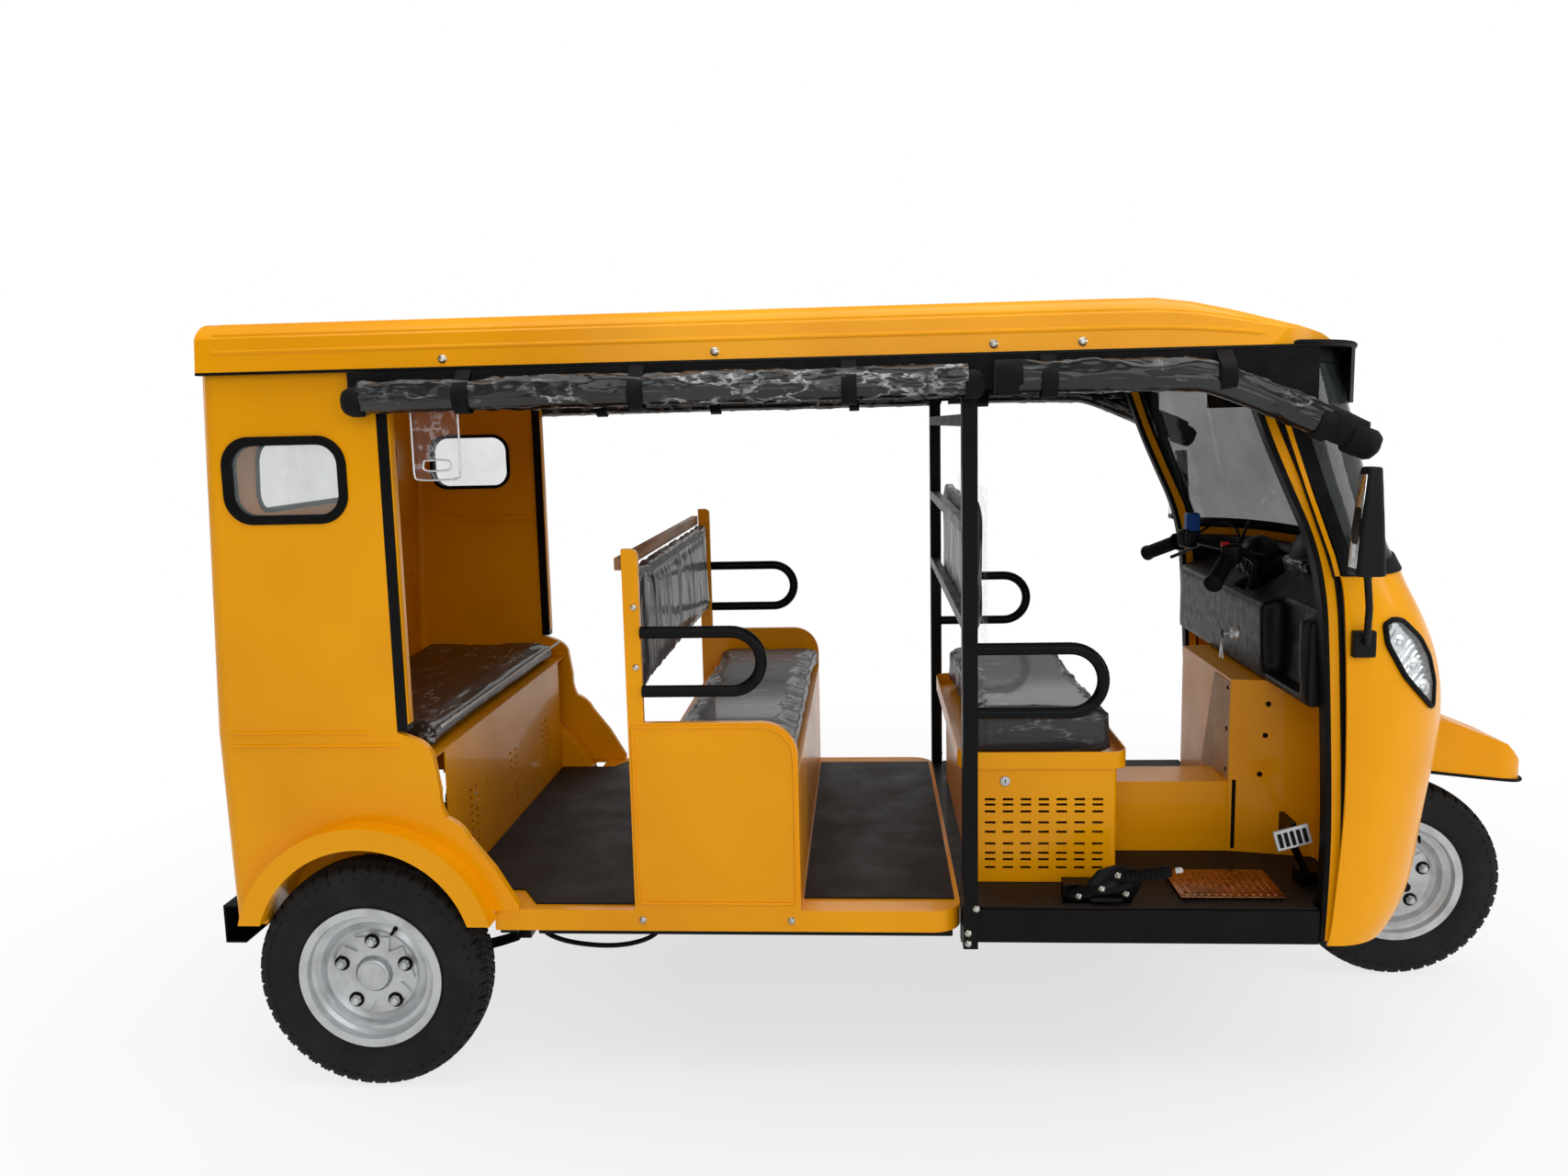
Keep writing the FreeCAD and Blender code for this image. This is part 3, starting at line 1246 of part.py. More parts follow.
def main():
    for label, side in (("right", -1), ("left", 1)):
        wheel("rear_tyre_" + label, "rear_rim_" + label, d.rearAxleX, side * d.rearWheelY, side,
              d.hubBore + d.bearingGap, True)
    wheel("front_tyre", "front_rim", frontAxleX, 0, -1, d.hubBore - 3 + d.bearingGap, False)
    chassis()
    floors()
    rearSide("rear_side_right", -1)
    rearSide("rear_side_left", 1)
    rearWall()
    windows()
    rearFenders()
    rearSeat()
    middleSeat()
    armrests()
    driverSeat()
    roofFrame()
    roof()
    curtains()
    noseShell()
    screen()
    doorFrames()
    frontWall()
    tunnel()
    dashboard()
    lamps()
    mirrors()
    controls()
    drivetrain()
    springs()
    bumper()
    cables()
    steering()
    writeParts()


main()
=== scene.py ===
import math

import bmesh
import bpy
import numpy as np
from mathutils import Matrix, Vector, noise
from mathutils.bvhtree import BVHTree


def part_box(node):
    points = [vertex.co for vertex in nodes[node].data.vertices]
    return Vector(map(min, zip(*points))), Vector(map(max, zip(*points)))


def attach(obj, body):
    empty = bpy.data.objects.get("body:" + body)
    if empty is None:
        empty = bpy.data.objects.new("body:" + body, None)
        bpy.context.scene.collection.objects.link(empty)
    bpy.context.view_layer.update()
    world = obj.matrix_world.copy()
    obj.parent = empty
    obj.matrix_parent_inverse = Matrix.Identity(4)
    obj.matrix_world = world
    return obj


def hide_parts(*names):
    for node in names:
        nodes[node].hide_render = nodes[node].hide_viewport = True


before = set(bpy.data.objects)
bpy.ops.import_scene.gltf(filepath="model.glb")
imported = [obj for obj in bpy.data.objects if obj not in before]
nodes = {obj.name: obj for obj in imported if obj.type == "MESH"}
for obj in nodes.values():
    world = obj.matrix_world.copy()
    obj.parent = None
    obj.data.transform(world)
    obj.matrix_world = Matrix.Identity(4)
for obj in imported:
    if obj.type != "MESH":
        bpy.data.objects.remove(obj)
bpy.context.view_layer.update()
sides = ((-1, "right"), (1, "left"))
print("stage: frame loaded,", len(nodes), "nodes")


# shader maths

class Wire:
    # a node's output, which expressions can add, take away and multiply
    def __init__(self, tree, socket):
        self.tree = tree
        self.socket = socket

    def node(self, kind, settings=None, sockets=None, out=0):
        made = self.tree.nodes.new(kind)
        for name, value in (settings or {}).items():
            setattr(made, name, value)
        for name, value in (sockets or {}).items():
            if isinstance(value, Wire):
                self.tree.links.new(value.socket, made.inputs[name])
            else:
                made.inputs[name].default_value = value
        return Wire(self.tree, made.outputs[out])

    def worked(self, operation, first, second=0.0):
        return self.node("ShaderNodeMath", {"operation": operation}, {0: first, 1: second})

    def __add__(self, other):
        return self.worked("ADD", self, other)

    def __radd__(self, other):
        return self.worked("ADD", other, self)

    def __sub__(self, other):
        return self.worked("SUBTRACT", self, other)

    def __rsub__(self, other):
        return self.worked("SUBTRACT", other, self)

    def __mul__(self, other):
        return self.worked("MULTIPLY", self, other)

    def __rmul__(self, other):
        return self.worked("MULTIPLY", other, self)

    def __abs__(self):
        return self.worked("ABSOLUTE", self)

    def clamp(self):
        return self.node("ShaderNodeClamp", {}, {"Value": self})

    def remap(self, low, high, newLow=0.0, newHigh=1.0):
        return self.node("ShaderNodeMapRange", {}, {
            "Value": self, "From Min": low, "From Max": high, "To Min": newLow, "To Max": newHigh})


def rgba(shade):
    # a colour written as #rrggbb, as the shader wants it
    values = [int(shade[i:i + 2], 16) / 255 for i in (1, 3, 5)]
    return (*(v / 12.92 if v <= 0.04045 else ((v + 0.055) / 1.055) ** 2.4 for v in values), 1.0)


class Finish:
    # a material being made: constants go straight on the Principled sockets
    def __init__(self, name, **constants):
        self.material = bpy.data.materials.new(name)
        self.material.use_nodes = True
        self.tree = self.material.node_tree
        self.shader = self.tree.nodes["Principled BSDF"]
        for key, value in constants.items():
            socket = self.shader.inputs[key.replace("_", " ")]
            socket.default_value = rgba(value) if isinstance(value, str) else value
        self.node = Wire(self.tree, None).node
        self.place = self.node("ShaderNodeTexCoord", out="Object")

    def noise(self, scale, detail=3.0, rough=0.5, stretch=None):
        place = self.place
        if stretch:
            place = self.node("ShaderNodeMapping", {}, {"Vector": place, "Scale": stretch})
        return self.node("ShaderNodeTexNoise", {}, {
            "Vector": place, "Scale": scale, "Detail": detail, "Roughness": rough})

    def mix(self, mask, first, second):
        ends = [rgba(c) if isinstance(c, str) else c for c in (first, second)]
        return self.node("ShaderNodeMix", {"data_type": "RGBA"}, {0: mask, 6: ends[0], 7: ends[1]}, 2)

    def bump(self, height, strength, distance=0.001, under=None):
        sockets = {"Height": height, "Strength": strength, "Distance": distance}
        if under:
            sockets["Normal"] = under
        return self.node("ShaderNodeBump", {}, sockets)

    def feed(self, **wires):
        for key, wire in wires.items():
            self.tree.links.new(wire.socket, self.shader.inputs[key.replace("_", " ")])
        return self.material


# finishes

def mottled(name, shades, patches, spread, rough, top=0.7, grain=None, cells=None, metal=None, **constants):
    # colour wanders between two shades in patches; rough is (noise or None for the patches, least, most)
    f = Finish(name, **constants)
    spots = f.noise(*patches)
    source, least, most = rough
    wires = {"Base_Color": f.mix(spots.remap(*spread), *shades),
             "Roughness": (f.noise(*source) if source else spots).remap(0.3, top, least, most)}
    if metal:
        wires["Metallic"] = f.noise(metal[0]).remap(0.3, 0.7, *metal[1:])
    if grain:
        wires["Normal"] = f.bump(f.noise(*grain[0]), *grain[1:])
    if cells:
        pits = f.node("ShaderNodeTexVoronoi", {}, {"Vector": f.place, "Scale": cells[0]})
        wires["Normal"] = f.bump(pits, *cells[1:])
    return f.feed(**wires)


def bodyPaint():
    f = Finish("bodyPaint", Specular_IOR_Level=0.12, Coat_Weight=0.14, Coat_Roughness=0.05)
    colour = f.mix(f.noise(2.2, 2.0).remap(0.35, 0.7), "#FBAA00", "#EB9A00")
    rough = f.noise(9.0, 4.0).remap(0.3, 0.7, 0.26, 0.38)
    waves = f.bump(f.noise(5.0, 1.0), 0.12, 0.004)
    return f.feed(Base_Color=colour, Roughness=rough, Normal=f.bump(f.noise(420.0, 2.0), 0.05, 0.0004, waves))


def metalSkin(name, light, dark):
    return mottled(name, (light, dark), (90.0, 4.0), (0.4, 0.7), ((60.0,), 0.22, 0.42), Metallic=1.0)


def moulding(name, light, dark):
    return mottled(name, (dark, light), (9.0, 3.0), (0.4, 0.7), ((40.0,), 0.38, 0.52),
                   cells=(520.0, 0.1, 0.0003), Specular_IOR_Level=0.16)


def seatCloth(name, dark="#1E1F21", light="#48494C", run=(0.35, 2.2, 2.2)):
    # flecked cloth under clear film, whose creases run along an axis; the pale lines along the creases are painted
    # highlights
    f = Finish(name, Specular_IOR_Level=0.25, Coat_Weight=0.32, Coat_Roughness=0.06)
    flecks = f.noise(330.0, 2.0, 0.7)
    heather = f.mix(flecks.remap(0.34, 0.66), dark, light)
    cloth = f.mix(f.noise(6.0, 3.0).remap(0.35, 0.75, 0.0, 0.55), heather, "#2C2D2F")
    creases = f.noise(8.0, 4.0, 0.6, run)
    thin = abs(creases - 0.5).remap(0.0, 0.022, 1.0, 0.0)
    # painted highlights: pale lines on the creases, in scattered patches
    creaseGlint = thin * f.noise(4.0, 2.0).remap(0.42, 0.62) * f.noise(50.0, 2.0).remap(0.38, 0.6)
    return f.feed(Base_Color=f.mix(creaseGlint, cloth, "#B5B7BA"), Roughness=flecks.remap(0.3, 0.7, 0.4, 0.6),
                  Normal=f.bump(creases, 0.8, 0.008, f.bump(flecks, 0.2, 0.0005)))


def clearFilm():
    f = Finish("clearFilm", Base_Color="#F4F6F7", IOR=1.45, Roughness=0.07)
    creases = f.noise(16.0, 5.0, 0.68, (1.0, 1.6, 1.0))
    # the film is faintly white all over and much whiter along its creases; the white along the creases is painted
    # highlight
    hazeAndGlint = abs(creases - 0.5).remap(0.0, 0.045, 0.34, 0.05)
    return f.feed(Alpha=hazeAndGlint, Normal=f.bump(f.noise(55.0, 4.0, 0.6), 0.5, 0.003, f.bump(creases, 1.0, 0.012)))


def rolledFilm():
    f = Finish("rolledFilm", Specular_IOR_Level=0.3, Coat_Weight=0.4, Coat_Roughness=0.07)
    creases = f.noise(13.0, 4.0, 0.6, (0.6, 1.5, 1.5))
    thin = abs(creases - 0.5).remap(0.0, 0.03, 1.0, 0.0)
    # pale crease lines in patches: painted highlights on the film's folds
    pale = thin * f.noise(5.0, 2.0).remap(0.46, 0.62) * f.noise(45.0, 2.0).remap(0.35, 0.6)
    haze = f.mix(f.noise(3.2, 1.0).remap(0.5, 0.66), "#0A0B0C", "#1F2123")
    return f.feed(Base_Color=f.mix(pale, haze, "#C9CBCD"), Roughness=creases.remap(0.3, 0.7, 0.2, 0.42),
                  Normal=f.bump(creases, 0.5, 0.006))


def seeThrough(name, tint, patches, least, most, **constants):
    f = Finish(name, Base_Color=tint, IOR=1.5, **constants)
    return f.feed(Alpha=f.noise(*patches).remap(0.3, 0.7, least, most))


def redLens():
    f = Finish("redLens", Coat_Weight=0.8, Coat_Roughness=0.05)
    ribs = f.node("ShaderNodeTexWave", {"wave_type": "BANDS", "bands_direction": "Z"},
                  {"Vector": f.place, "Scale": 60.0})
    return f.feed(Base_Color=f.mix(ribs.remap(0.2, 0.8), "#8C0D0B", "#C41C14"), Normal=f.bump(ribs, 0.4, 0.001))


smears = (6.0, 4.0, 0.6)
looks = {
    "paint": bodyPaint(), "film": clearFilm(), "roll": rolledFilm(), "red": redLens(),
    "black": mottled("blackPaint", ("#060607", "#0D0D0E"), (14.0, 4.0), (0.35, 0.75), ((30.0, 3.0), 0.3, 0.46),
                     grain=((900.0,), 0.15, 0.0003), Specular_IOR_Level=0.09, Coat_Weight=0.05,
                     Coat_Roughness=0.1),
    "tyre": mottled("tyreRubber", ("#161617", "#2C2B2A"), (12.0, 6.0, 0.65), (0.42, 0.8), (None, 0.62, 0.85),
                    top=0.8, grain=((520.0,), 0.25, 0.0005), Specular_IOR_Level=0.2),
    "rubber": mottled("softRubber", ("#09090A", "#121213"), (20.0, 4.0), (0.4, 0.75), ((8.0,), 0.48, 0.66),
                      grain=((700.0,), 0.2, 0.0004), Specular_IOR_Level=0.1),
    "silver": mottled("silverPaint", ("#C6C9CB", "#A3A5A6"), (16.0, 5.0), (0.45, 0.8), (None, 0.34, 0.48),
                      grain=((380.0,), 0.08, 0.0004), metal=(600.0, 0.35, 0.6), Coat_Weight=0.3,
                      Coat_Roughness=0.25),
    "mat": mottled("floorMat", ("#18110E", "#251C17"), (7.0, 6.0, 0.6), (0.38, 0.75), (None, 0.55, 0.75),
                   cells=(260.0, 0.35, 0.0006), Specular_IOR_Level=0.3),
    "canvas": mottled("blackCanvas", ("#0A0A0B", "#141415"), (25.0, 4.0), (0.4, 0.7), ((800.0, 2.0), 0.6, 0.8),
                      grain=((800.0, 2.0), 0.5, 0.0006), Specular_IOR_Level=0.12, Sheen_Weight=0.03),
    "board": mottled("bareBoard", ("#A8794C", "#7C5734"), (30.0, 5.0, 0.6, (1.0, 0.12, 1.0)), (0.35, 0.7),
                     (None, 0.5, 0.7)),
    "cast": mottled("castMetal", ("#4A4B4C", "#2A2A2A"), (24.0, 5.0), (0.4, 0.75), (None, 0.5, 0.75),
                    grain=((260.0,), 0.4, 0.0008), Metallic=0.4),
    "zinc": metalSkin("zincSteel", "#CFCCC2", "#9C968A"),
    "mirror": metalSkin("mirrorGlass", "#E8ECEE", "#D8DCDE"),
    "copper": metalSkin("copperPlate", "#B98660", "#7A4E33"),
    "dash": moulding("dashPlastic", "#131415", "#0B0C0D"),
    "blue": moulding("blueWrap", "#1F66C4", "#154A96"),
    "piping": moulding("whitePiping", "#D8D8D5", "#BFBFBB"),
    "button": moulding("redButton", "#B3161C", "#8E0F14"),
    "beige": moulding("beigeBoard", "#C8A06A", "#B88F5A"),
    "cloth": seatCloth("seatCloth"),
    "clothUp": seatCloth("seatClothUpright", run=(2.2, 2.2, 0.35)),
    # the rear cushion's cloth is made darker and browner than the others: painted shade of the covered cab
    "clothShaded": seatCloth("seatClothShaded", "#171312", "#332A26", (2.2, 0.35, 2.2)),
    "glass": seeThrough("paneGlass", "#2C3332", smears, 0.56, 0.64, Roughness=0.03),
    "pane": seeThrough("clearPane", "#C3CFCF", smears, 0.12, 0.2, Roughness=0.03),
    "lens": seeThrough("lensPlastic", "#EEF3F6", (12.0, 3.0), 0.16, 0.24, Roughness=0.04, Coat_Weight=1.0),
}
print("stage: finishes made")


# the nodes that stay as they are modelled

nodeLooks = {
    "paint": ["floor_pan", "rear_side_right", "rear_side_left", "rear_panel", "rear_fenders",
              "rear_seat_box", "middle_seat_frame", "driver_seat_box", "roof_shell", "nose_shell",
              "door_frames", "front_bulkhead", "gear_tunnel", "front_mudguard"],
    "black": ["chassis_frame", "armrests", "leaf_springs", "rear_bumper", "steering_fork",
              "pedal_and_handbrake", "roof_frame", "cab_floor"],
    "mat": ["floor_mats"],
    "rubber": ["window_rubbers", "windscreen_frame", "under_floor_cable"],
    "glass": ["windscreen_glass"],
    "pane": ["window_glass"],
    "silver": ["rear_rim_right", "rear_rim_left", "front_rim"],
    "cast": ["rear_axle", "engine_block"],
    "dash": ["dashboard", "handlebar", "mirrors"],
    "tyre": ["rear_tyre_right", "rear_tyre_left", "front_tyre"],
    "cloth": ["rear_seat_cushion", "middle_seat_cushion", "middle_seat_back", "driver_seat_cushion",
              "driver_seat_back"],
    "roll": ["side_curtains"],
    "lens": ["headlamps"],
    "red": ["tail_lamps"],
}

for look, names in nodeLooks.items():
    for name in names:
        nodes[name].data.materials.clear()
        nodes[name].data.materials.append(looks[look])
print("stage: nodes dressed")


# mesh helpers

def mm(*points):
    # places written in millimetres, as metres
    return [tuple(v / 1000 for v in point) for point in points]


def onSide(side, *points):
    return [(x, side * y, z) for x, y, z in mm(*points)]


def placed(name, data, body="root"):
    piece = bpy.data.objects.new(name, data)
    bpy.context.scene.collection.objects.link(piece)
    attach(piece, body)
    return piece


def finished(name, work, look, body="root", crease=None):
    # a worked mesh as a smooth piece, sharp where its faces meet by more than the crease angle
    for face in work.faces:
        face.smooth = True
    for edge in work.edges:
        if crease and len(edge.link_faces) == 2 and edge.calc_face_angle(0) > crease:
            edge.smooth = False
    mesh = bpy.data.meshes.new(name)
    work.to_mesh(mesh)
    work.free()
    mesh.materials.append(looks[look])
    return placed(name, mesh, body)


def meshPiece(name, verts, faces, look, body="root", crease=0.6):
    rough = bpy.data.meshes.new(name)
    rough.from_pydata([tuple(v) for v in verts], [], faces)
    work = bmesh.new()
    work.from_mesh(rough)
    bpy.data.meshes.remove(rough)
    bmesh.ops.recalc_face_normals(work, faces=work.faces)
    return finished(name, work, look, body, crease)


def gridFaces(rows, columns, closeRows=False, closeColumns=False):
    # the quads of a grid of points, row by row
    faces = []
    for i in range(rows if closeRows else rows - 1):
        for j in range(columns if closeColumns else columns - 1):
            a, b = (i + 1) % rows, (j + 1) % columns
            faces.append((i * columns + j, i * columns + b, a * columns + b, a * columns + j))
    return faces


def barFaces(rows, columns):
    # the same for a closed bar, with its two ends
    ends = [list(range(columns)), [(rows - 1) * columns + k for k in range(columns)]]
    return gridFaces(rows, columns, False, True) + ends


def spun(name, profile, look, body, centre, axis, count=48, crease=0.6):
    # a profile of (along, radius) points turned round an axis through a centre
    axis = Vector(axis).normalized()
    across = axis.orthogonal().normalized()
    other = axis.cross(across)
    tip = 2e-5  # an end thinner than this needs no cap
    verts = []
    for k in range(count):
        angle = 2 * math.pi * k / count
        out = across * math.cos(angle) + other * math.sin(angle)
        verts += [Vector(centre) + axis * along + out * radius for along, radius in profile]
    faces = gridFaces(count, len(profile), True)
    for end in (0, len(profile) - 1):
        if profile[end][1] > tip:
            faces.append([k * len(profile) + end for k in range(count)])
    return meshPiece(name, verts, faces, look, body, crease)


# small turned parts: look, sides, crease angle, then (along, radius) in millimetres
fixings = {
    "nutSeat": ("black", 28, 0.6, (0.2, 18), (1.6, 17.8), (1.6, 14.5), (0.4, 13.5)),
    "nut": ("silver", 6, 0.4, (0, 12.5), (8, 12.5), (9, 11.5)),
    "nutDome": ("silver", 24, 0.6, (9, 10.4), (14, 9.5), (17.5, 6.8), (19, 3.4), (19.3, 0.01)),
    "hubCap": ("silver", 56, 0.6, (0, 31), (1.8, 30.5), (1.8, 28.5), (0.6, 27.8), (0.8, 0.01)),
    "valve": ("rubber", 20, 0.6, (0, 5.2), (6, 5), (9, 3.6), (21, 3.6), (21.5, 2.8), (22.5, 0.01)),
    "curtainTie": ("canvas", 40, 0.6, (-14, 31.8), (-12, 34), (12, 34), (14, 31.8)),
    "roofBolt": ("zinc", 24, 0.6, (0, 9.5), (1.2, 9.5), (1.3, 7.2), (4.5, 6.8), (5.8, 5), (6.2, 0.01)),
    "lampBowl": ("mirror", 32, 0.6, (0, 19), (4, 21), (4.5, 19.5), (1, 9), (6, 7), (8.5, 4), (9, 0.01)),
    "keyBarrel": ("silver", 32, 0.6, (0, 16), (10, 16), (12, 13.5), (18, 13.5), (19, 11), (16.5, 0.01)),
    "backScrew": ("zinc", 24, 0.6, (0, 7.5), (2, 7), (3.5, 5), (4, 0.01)),
    "coverScrew": ("rubber", 20, 0.6, (0, 6), (1.5, 5.5), (2, 0.01)),
    "humpScrew": ("rubber", 20, 0.6, (0, 7), (2, 6), (3, 0.01)),
    "brakeButton": ("silver", 24, 0.6, (0, 6.5), (12, 6.5), (15, 4), (15.5, 0.01)),
    "sillBolt": ("zinc", 6, 0.3, (0, 9.5), (2, 9), (2.5, 6.8), (6, 6.5), (7.5, 0.01)),
    "boxLock": ("silver", 32, 0.6, (0, 12), (3, 12), (4, 10), (4.2, 0.01)),
    "bracketBolt": ("zinc", 6, 0.3, (0, 9), (2, 8.8), (2.5, 6.8), (7, 6.4), (8.5, 0.01)),
    "postBolt": ("zinc", 6, 0.3, (0, 8.5), (1.5, 8.5), (2, 6.2), (6, 5.8), (7, 0.01)),
}


def fixing(kind, spot, axis, name=None, body="root"):
    look, count, crease, *profile = fixings[kind]
    return spun(name or kind, mm(*profile), look, body, spot, axis, count, crease)


def addSpline(data, points, resolution, cyclic=False):
    line = data.splines.new("NURBS")
    line.points.add(len(points) - 1)
    for spot, place in zip(line.points, points):
        spot.co = (*place, 1)
    line.order_u = 3
    line.use_endpoint_u = not cyclic
    line.use_cyclic_u = cyclic
    line.resolution_u = resolution


def tube(name, lines, radius, look, body="root", resolution=6, cyclic=False):
    # round bars or cables of one thickness, each a smooth curve through its points
    data = bpy.data.curves.new(name, "CURVE")
    data.dimensions = "3D"
    for points in lines:
        addSpline(data, points, resolution, cyclic)
    data.bevel_depth = radius
    data.bevel_resolution = 3
    data.use_fill_caps = True
    data.materials.append(looks[look])
    return placed(name, data, body)


def softBlock(name, low, high, look, body="root", bevel=0.006, segments=3, turn=None):
    # a block with rounded edges between two corners, turned about its middle if asked
    low, high = (Vector(corner) for corner in zip(*map(sorted, zip(low, high))))
    size = high - low
    work = bmesh.new()
    bmesh.ops.create_cube(work, size=1)
    bmesh.ops.scale(work, vec=size, verts=work.verts)
    bmesh.ops.bevel(work, geom=list(work.edges), offset=min(bevel, 0.48 * min(size)), segments=segments,
                    profile=0.5, affect="EDGES")
    if turn:
        bmesh.ops.rotate(work, cent=(0, 0, 0), matrix=Matrix.Rotation(turn[1], 3, turn[0]), verts=work.verts)
    bmesh.ops.translate(work, vec=(low + high) / 2, verts=work.verts)
    return finished(name, work, look, body)


def merged(name, parts, body="root"):
    # several pieces made into one
    verts, faces, marks, materials = [], [], [], []
    for part in parts:
        start = len(verts)
        verts += [tuple(part.matrix_world @ v.co) for v in part.data.vertices]
        for face in part.data.polygons:
            faces.append([start + index for index in face.vertices])
            look = part.data.materials[face.material_index]
            if look not in materials:
                materials.append(look)
            marks.append((face.use_smooth, materials.index(look)))
        bpy.data.objects.remove(part)
    mesh = bpy.data.meshes.new(name)
    mesh.from_pydata(verts, [], faces)
    for look in materials:
        mesh.materials.append(look)
    for face, (soft, slot) in zip(mesh.polygons, marks):
        face.use_smooth, face.material_index = soft, slot
    return placed(name, mesh, body)


def alongPath(path, step):
    # evenly spaced points on a smooth line through a path
    data = bpy.data.curves.new("guide", "CURVE")
    data.dimensions = "3D"
    addSpline(data, path, 24)
    holder = bpy.data.objects.new("guide", data)
    mesh = bpy.data.meshes.new_from_object(holder)
    spots = np.array([v.co[:] for v in mesh.vertices])
    bpy.data.objects.remove(holder)
    bpy.data.curves.remove(data)
    bpy.data.meshes.remove(mesh)
    lengths = np.concatenate([[0], np.cumsum(np.linalg.norm(np.diff(spots, axis=0), axis=1))])
    marks = np.linspace(0, lengths[-1], max(int(lengths[-1] / step), 4))
    return np.stack([np.interp(marks, lengths, spots[:, axis]) for axis in range(3)], 1)


def aheadAt(spots, index):
    before, after = spots[max(index - 1, 0)], spots[min(index + 1, len(spots) - 1)]
    return Vector(after - before).normalized()


def areaOf(piece):
    return sum(face.area for face in piece.data.polygons)


def declareSheet(piece, width):
    # the length of a sheet from its area and width, worked out and not kept; a sheet
    # with the size of what is modelled of it
    areaOf(piece) / width


def declareCord(piece, route):
    runs = np.diff(alongPath(route, 0.002), axis=0)


# camera, light and floor

cameraView = {
    "place": (-0.0908, -3.2058, 1.5125), "yaw": 0.069, "pitch": 0.136, "roll": -0.023,
    "focalPixels": 1300.0, "imageWidth": 1707.0, "sensor": 36.0,
}


def makeCamera():
    v = cameraView
    ahead = Vector((-math.sin(v["yaw"]), math.cos(v["yaw"]), 0))
    across = Vector((math.cos(v["yaw"]), math.sin(v["yaw"]), 0))
    top = Vector((0, 0, 1))
    look = ahead * math.cos(v["pitch"]) - top * math.sin(v["pitch"])
    lift = top * math.cos(v["pitch"]) + ahead * math.sin(v["pitch"])
    right = across * math.cos(v["roll"]) + lift * math.sin(v["roll"])
    upward = lift * math.cos(v["roll"]) - across * math.sin(v["roll"])
    data = bpy.data.cameras.new("photoCamera")
    data.sensor_width = v["sensor"]
    data.lens = v["focalPixels"] / v["imageWidth"] * v["sensor"]
    data.clip_end = 100
    camera = bpy.data.objects.new("photoCamera", data)
    turn = Matrix((right, upward, -look)).transposed().to_4x4()
    camera.matrix_world = Matrix.Translation(v["place"]) @ turn
    bpy.context.scene.collection.objects.link(camera)
    bpy.context.scene.camera = camera


lightPlan = {
    "overhead": {"place": (0.2, -0.4, 4.6), "aim": (0, 0, 0.8), "size": (6.0, 3.2), "watts": 128},
    "nearSide": {"place": (1.1, -5.2, 3.0), "aim": (0.3, 0, 0.8), "size": (6.0, 2.4), "watts": 98},
    "ahead": {"place": (5.0, -1.6, 2.6), "aim": (0.6, 0, 0.8), "size": (2.4, 2.4), "watts": 60},
    "farSide": {"place": (-0.5, 5.0, 3.2), "aim": (0, 0, 0.8), "size": (6.0, 2.4), "watts": 60},
    "behind": {"place": (-5.4, 0.8, 2.6), "aim": (-0.8, 0, 0.9), "size": (2.4, 2.4), "watts": 34},
}


def makeLights():
    for name, plan in lightPlan.items():
        data = bpy.data.lights.new(name, "AREA")
        data.shape = "RECTANGLE"
        data.size, data.size_y = plan["size"]
        data.energy = plan["watts"]
        lamp = bpy.data.objects.new(name, data)
        lamp.location = plan["place"]
        aim = Vector(plan["aim"]) - Vector(plan["place"])
        lamp.rotation_euler = aim.to_track_quat("-Z", "Y").to_euler()
        bpy.context.scene.collection.objects.link(lamp)


studioLook = {"ambient": 0.26, "shown": 1.0, "half": 30.0, "near": 0.6, "far": 3.2, "least": 0.68}


def rayMask(node, tree, *kinds):
    # 1 on the rays of some kinds, 0 on the others
    rays = node("ShaderNodeLightPath").socket.node.outputs
    first, *rest = (Wire(tree, rays["Is " + kind + " Ray"]) for kind in kinds)
    return sum(rest, first).clamp()


def makeWorld():
    world = bpy.data.worlds.new("studio")
    bpy.context.scene.world = world
    world.use_nodes = True
    tree, s = world.node_tree, studioLook
    mask = rayMask(Wire(tree, None).node, tree, "Camera", "Transmission")
    strength = mask * (s["shown"] - s["ambient"]) + s["ambient"]
    back = tree.nodes["Background"]
    back.inputs["Color"].default_value = (1, 1, 1, 1)
    tree.links.new(strength.socket, back.inputs["Strength"])


def makeFloor():
    # a pale floor that fades to white away from the vehicle
    s = studioLook
    bpy.ops.mesh.primitive_plane_add(size=2 * s["half"])
    ground = bpy.context.object
    ground.name = "studioFloor"
    f = Finish("studioFloor", Roughness=0.9, Specular_IOR_Level=0.1)
    f.feed(Base_Color=f.mix(f.noise(0.8).remap(0.4, 0.6), "#F2F2F1", "#EFEFEE"))
    away = f.node("ShaderNodeVectorMath", {"operation": "LENGTH"}, {0: f.place}, 1)
    seen = rayMask(f.node, f.tree, "Camera", "Glossy", "Transmission")
    mask = away.remap(s["near"], s["far"], s["least"], 1.0) * seen
    white = f.node("ShaderNodeEmission", {}, {"Color": (1, 1, 1, 1), "Strength": 1.0})
    both = f.node("ShaderNodeMixShader", {}, {"Fac": mask, 1: Wire(f.tree, f.shader.outputs[0]), 2: white})
    f.tree.links.new(both.socket, f.tree.nodes["Material Output"].inputs["Surface"])
    ground.data.materials.append(f.material)


makeCamera()
makeLights()
makeWorld()
makeFloor()
bpy.context.scene.view_settings.view_transform = "Standard"
print("stage: camera, lights and floor")


# the cable under the floor

cableRoute = mm((-908, -470, 361.8), (-908, -470, 310), (-840, -468, 268), (-690, -466, 256), (-585, -470, 300),
                (-585, -470, 361.8))
underCable = tube("floor_cable", [cableRoute], 0.006, "rubber", "root", 16)
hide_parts("under_floor_cable")
declareCord(underCable, cableRoute)
print("stage: cable made")


# wheels

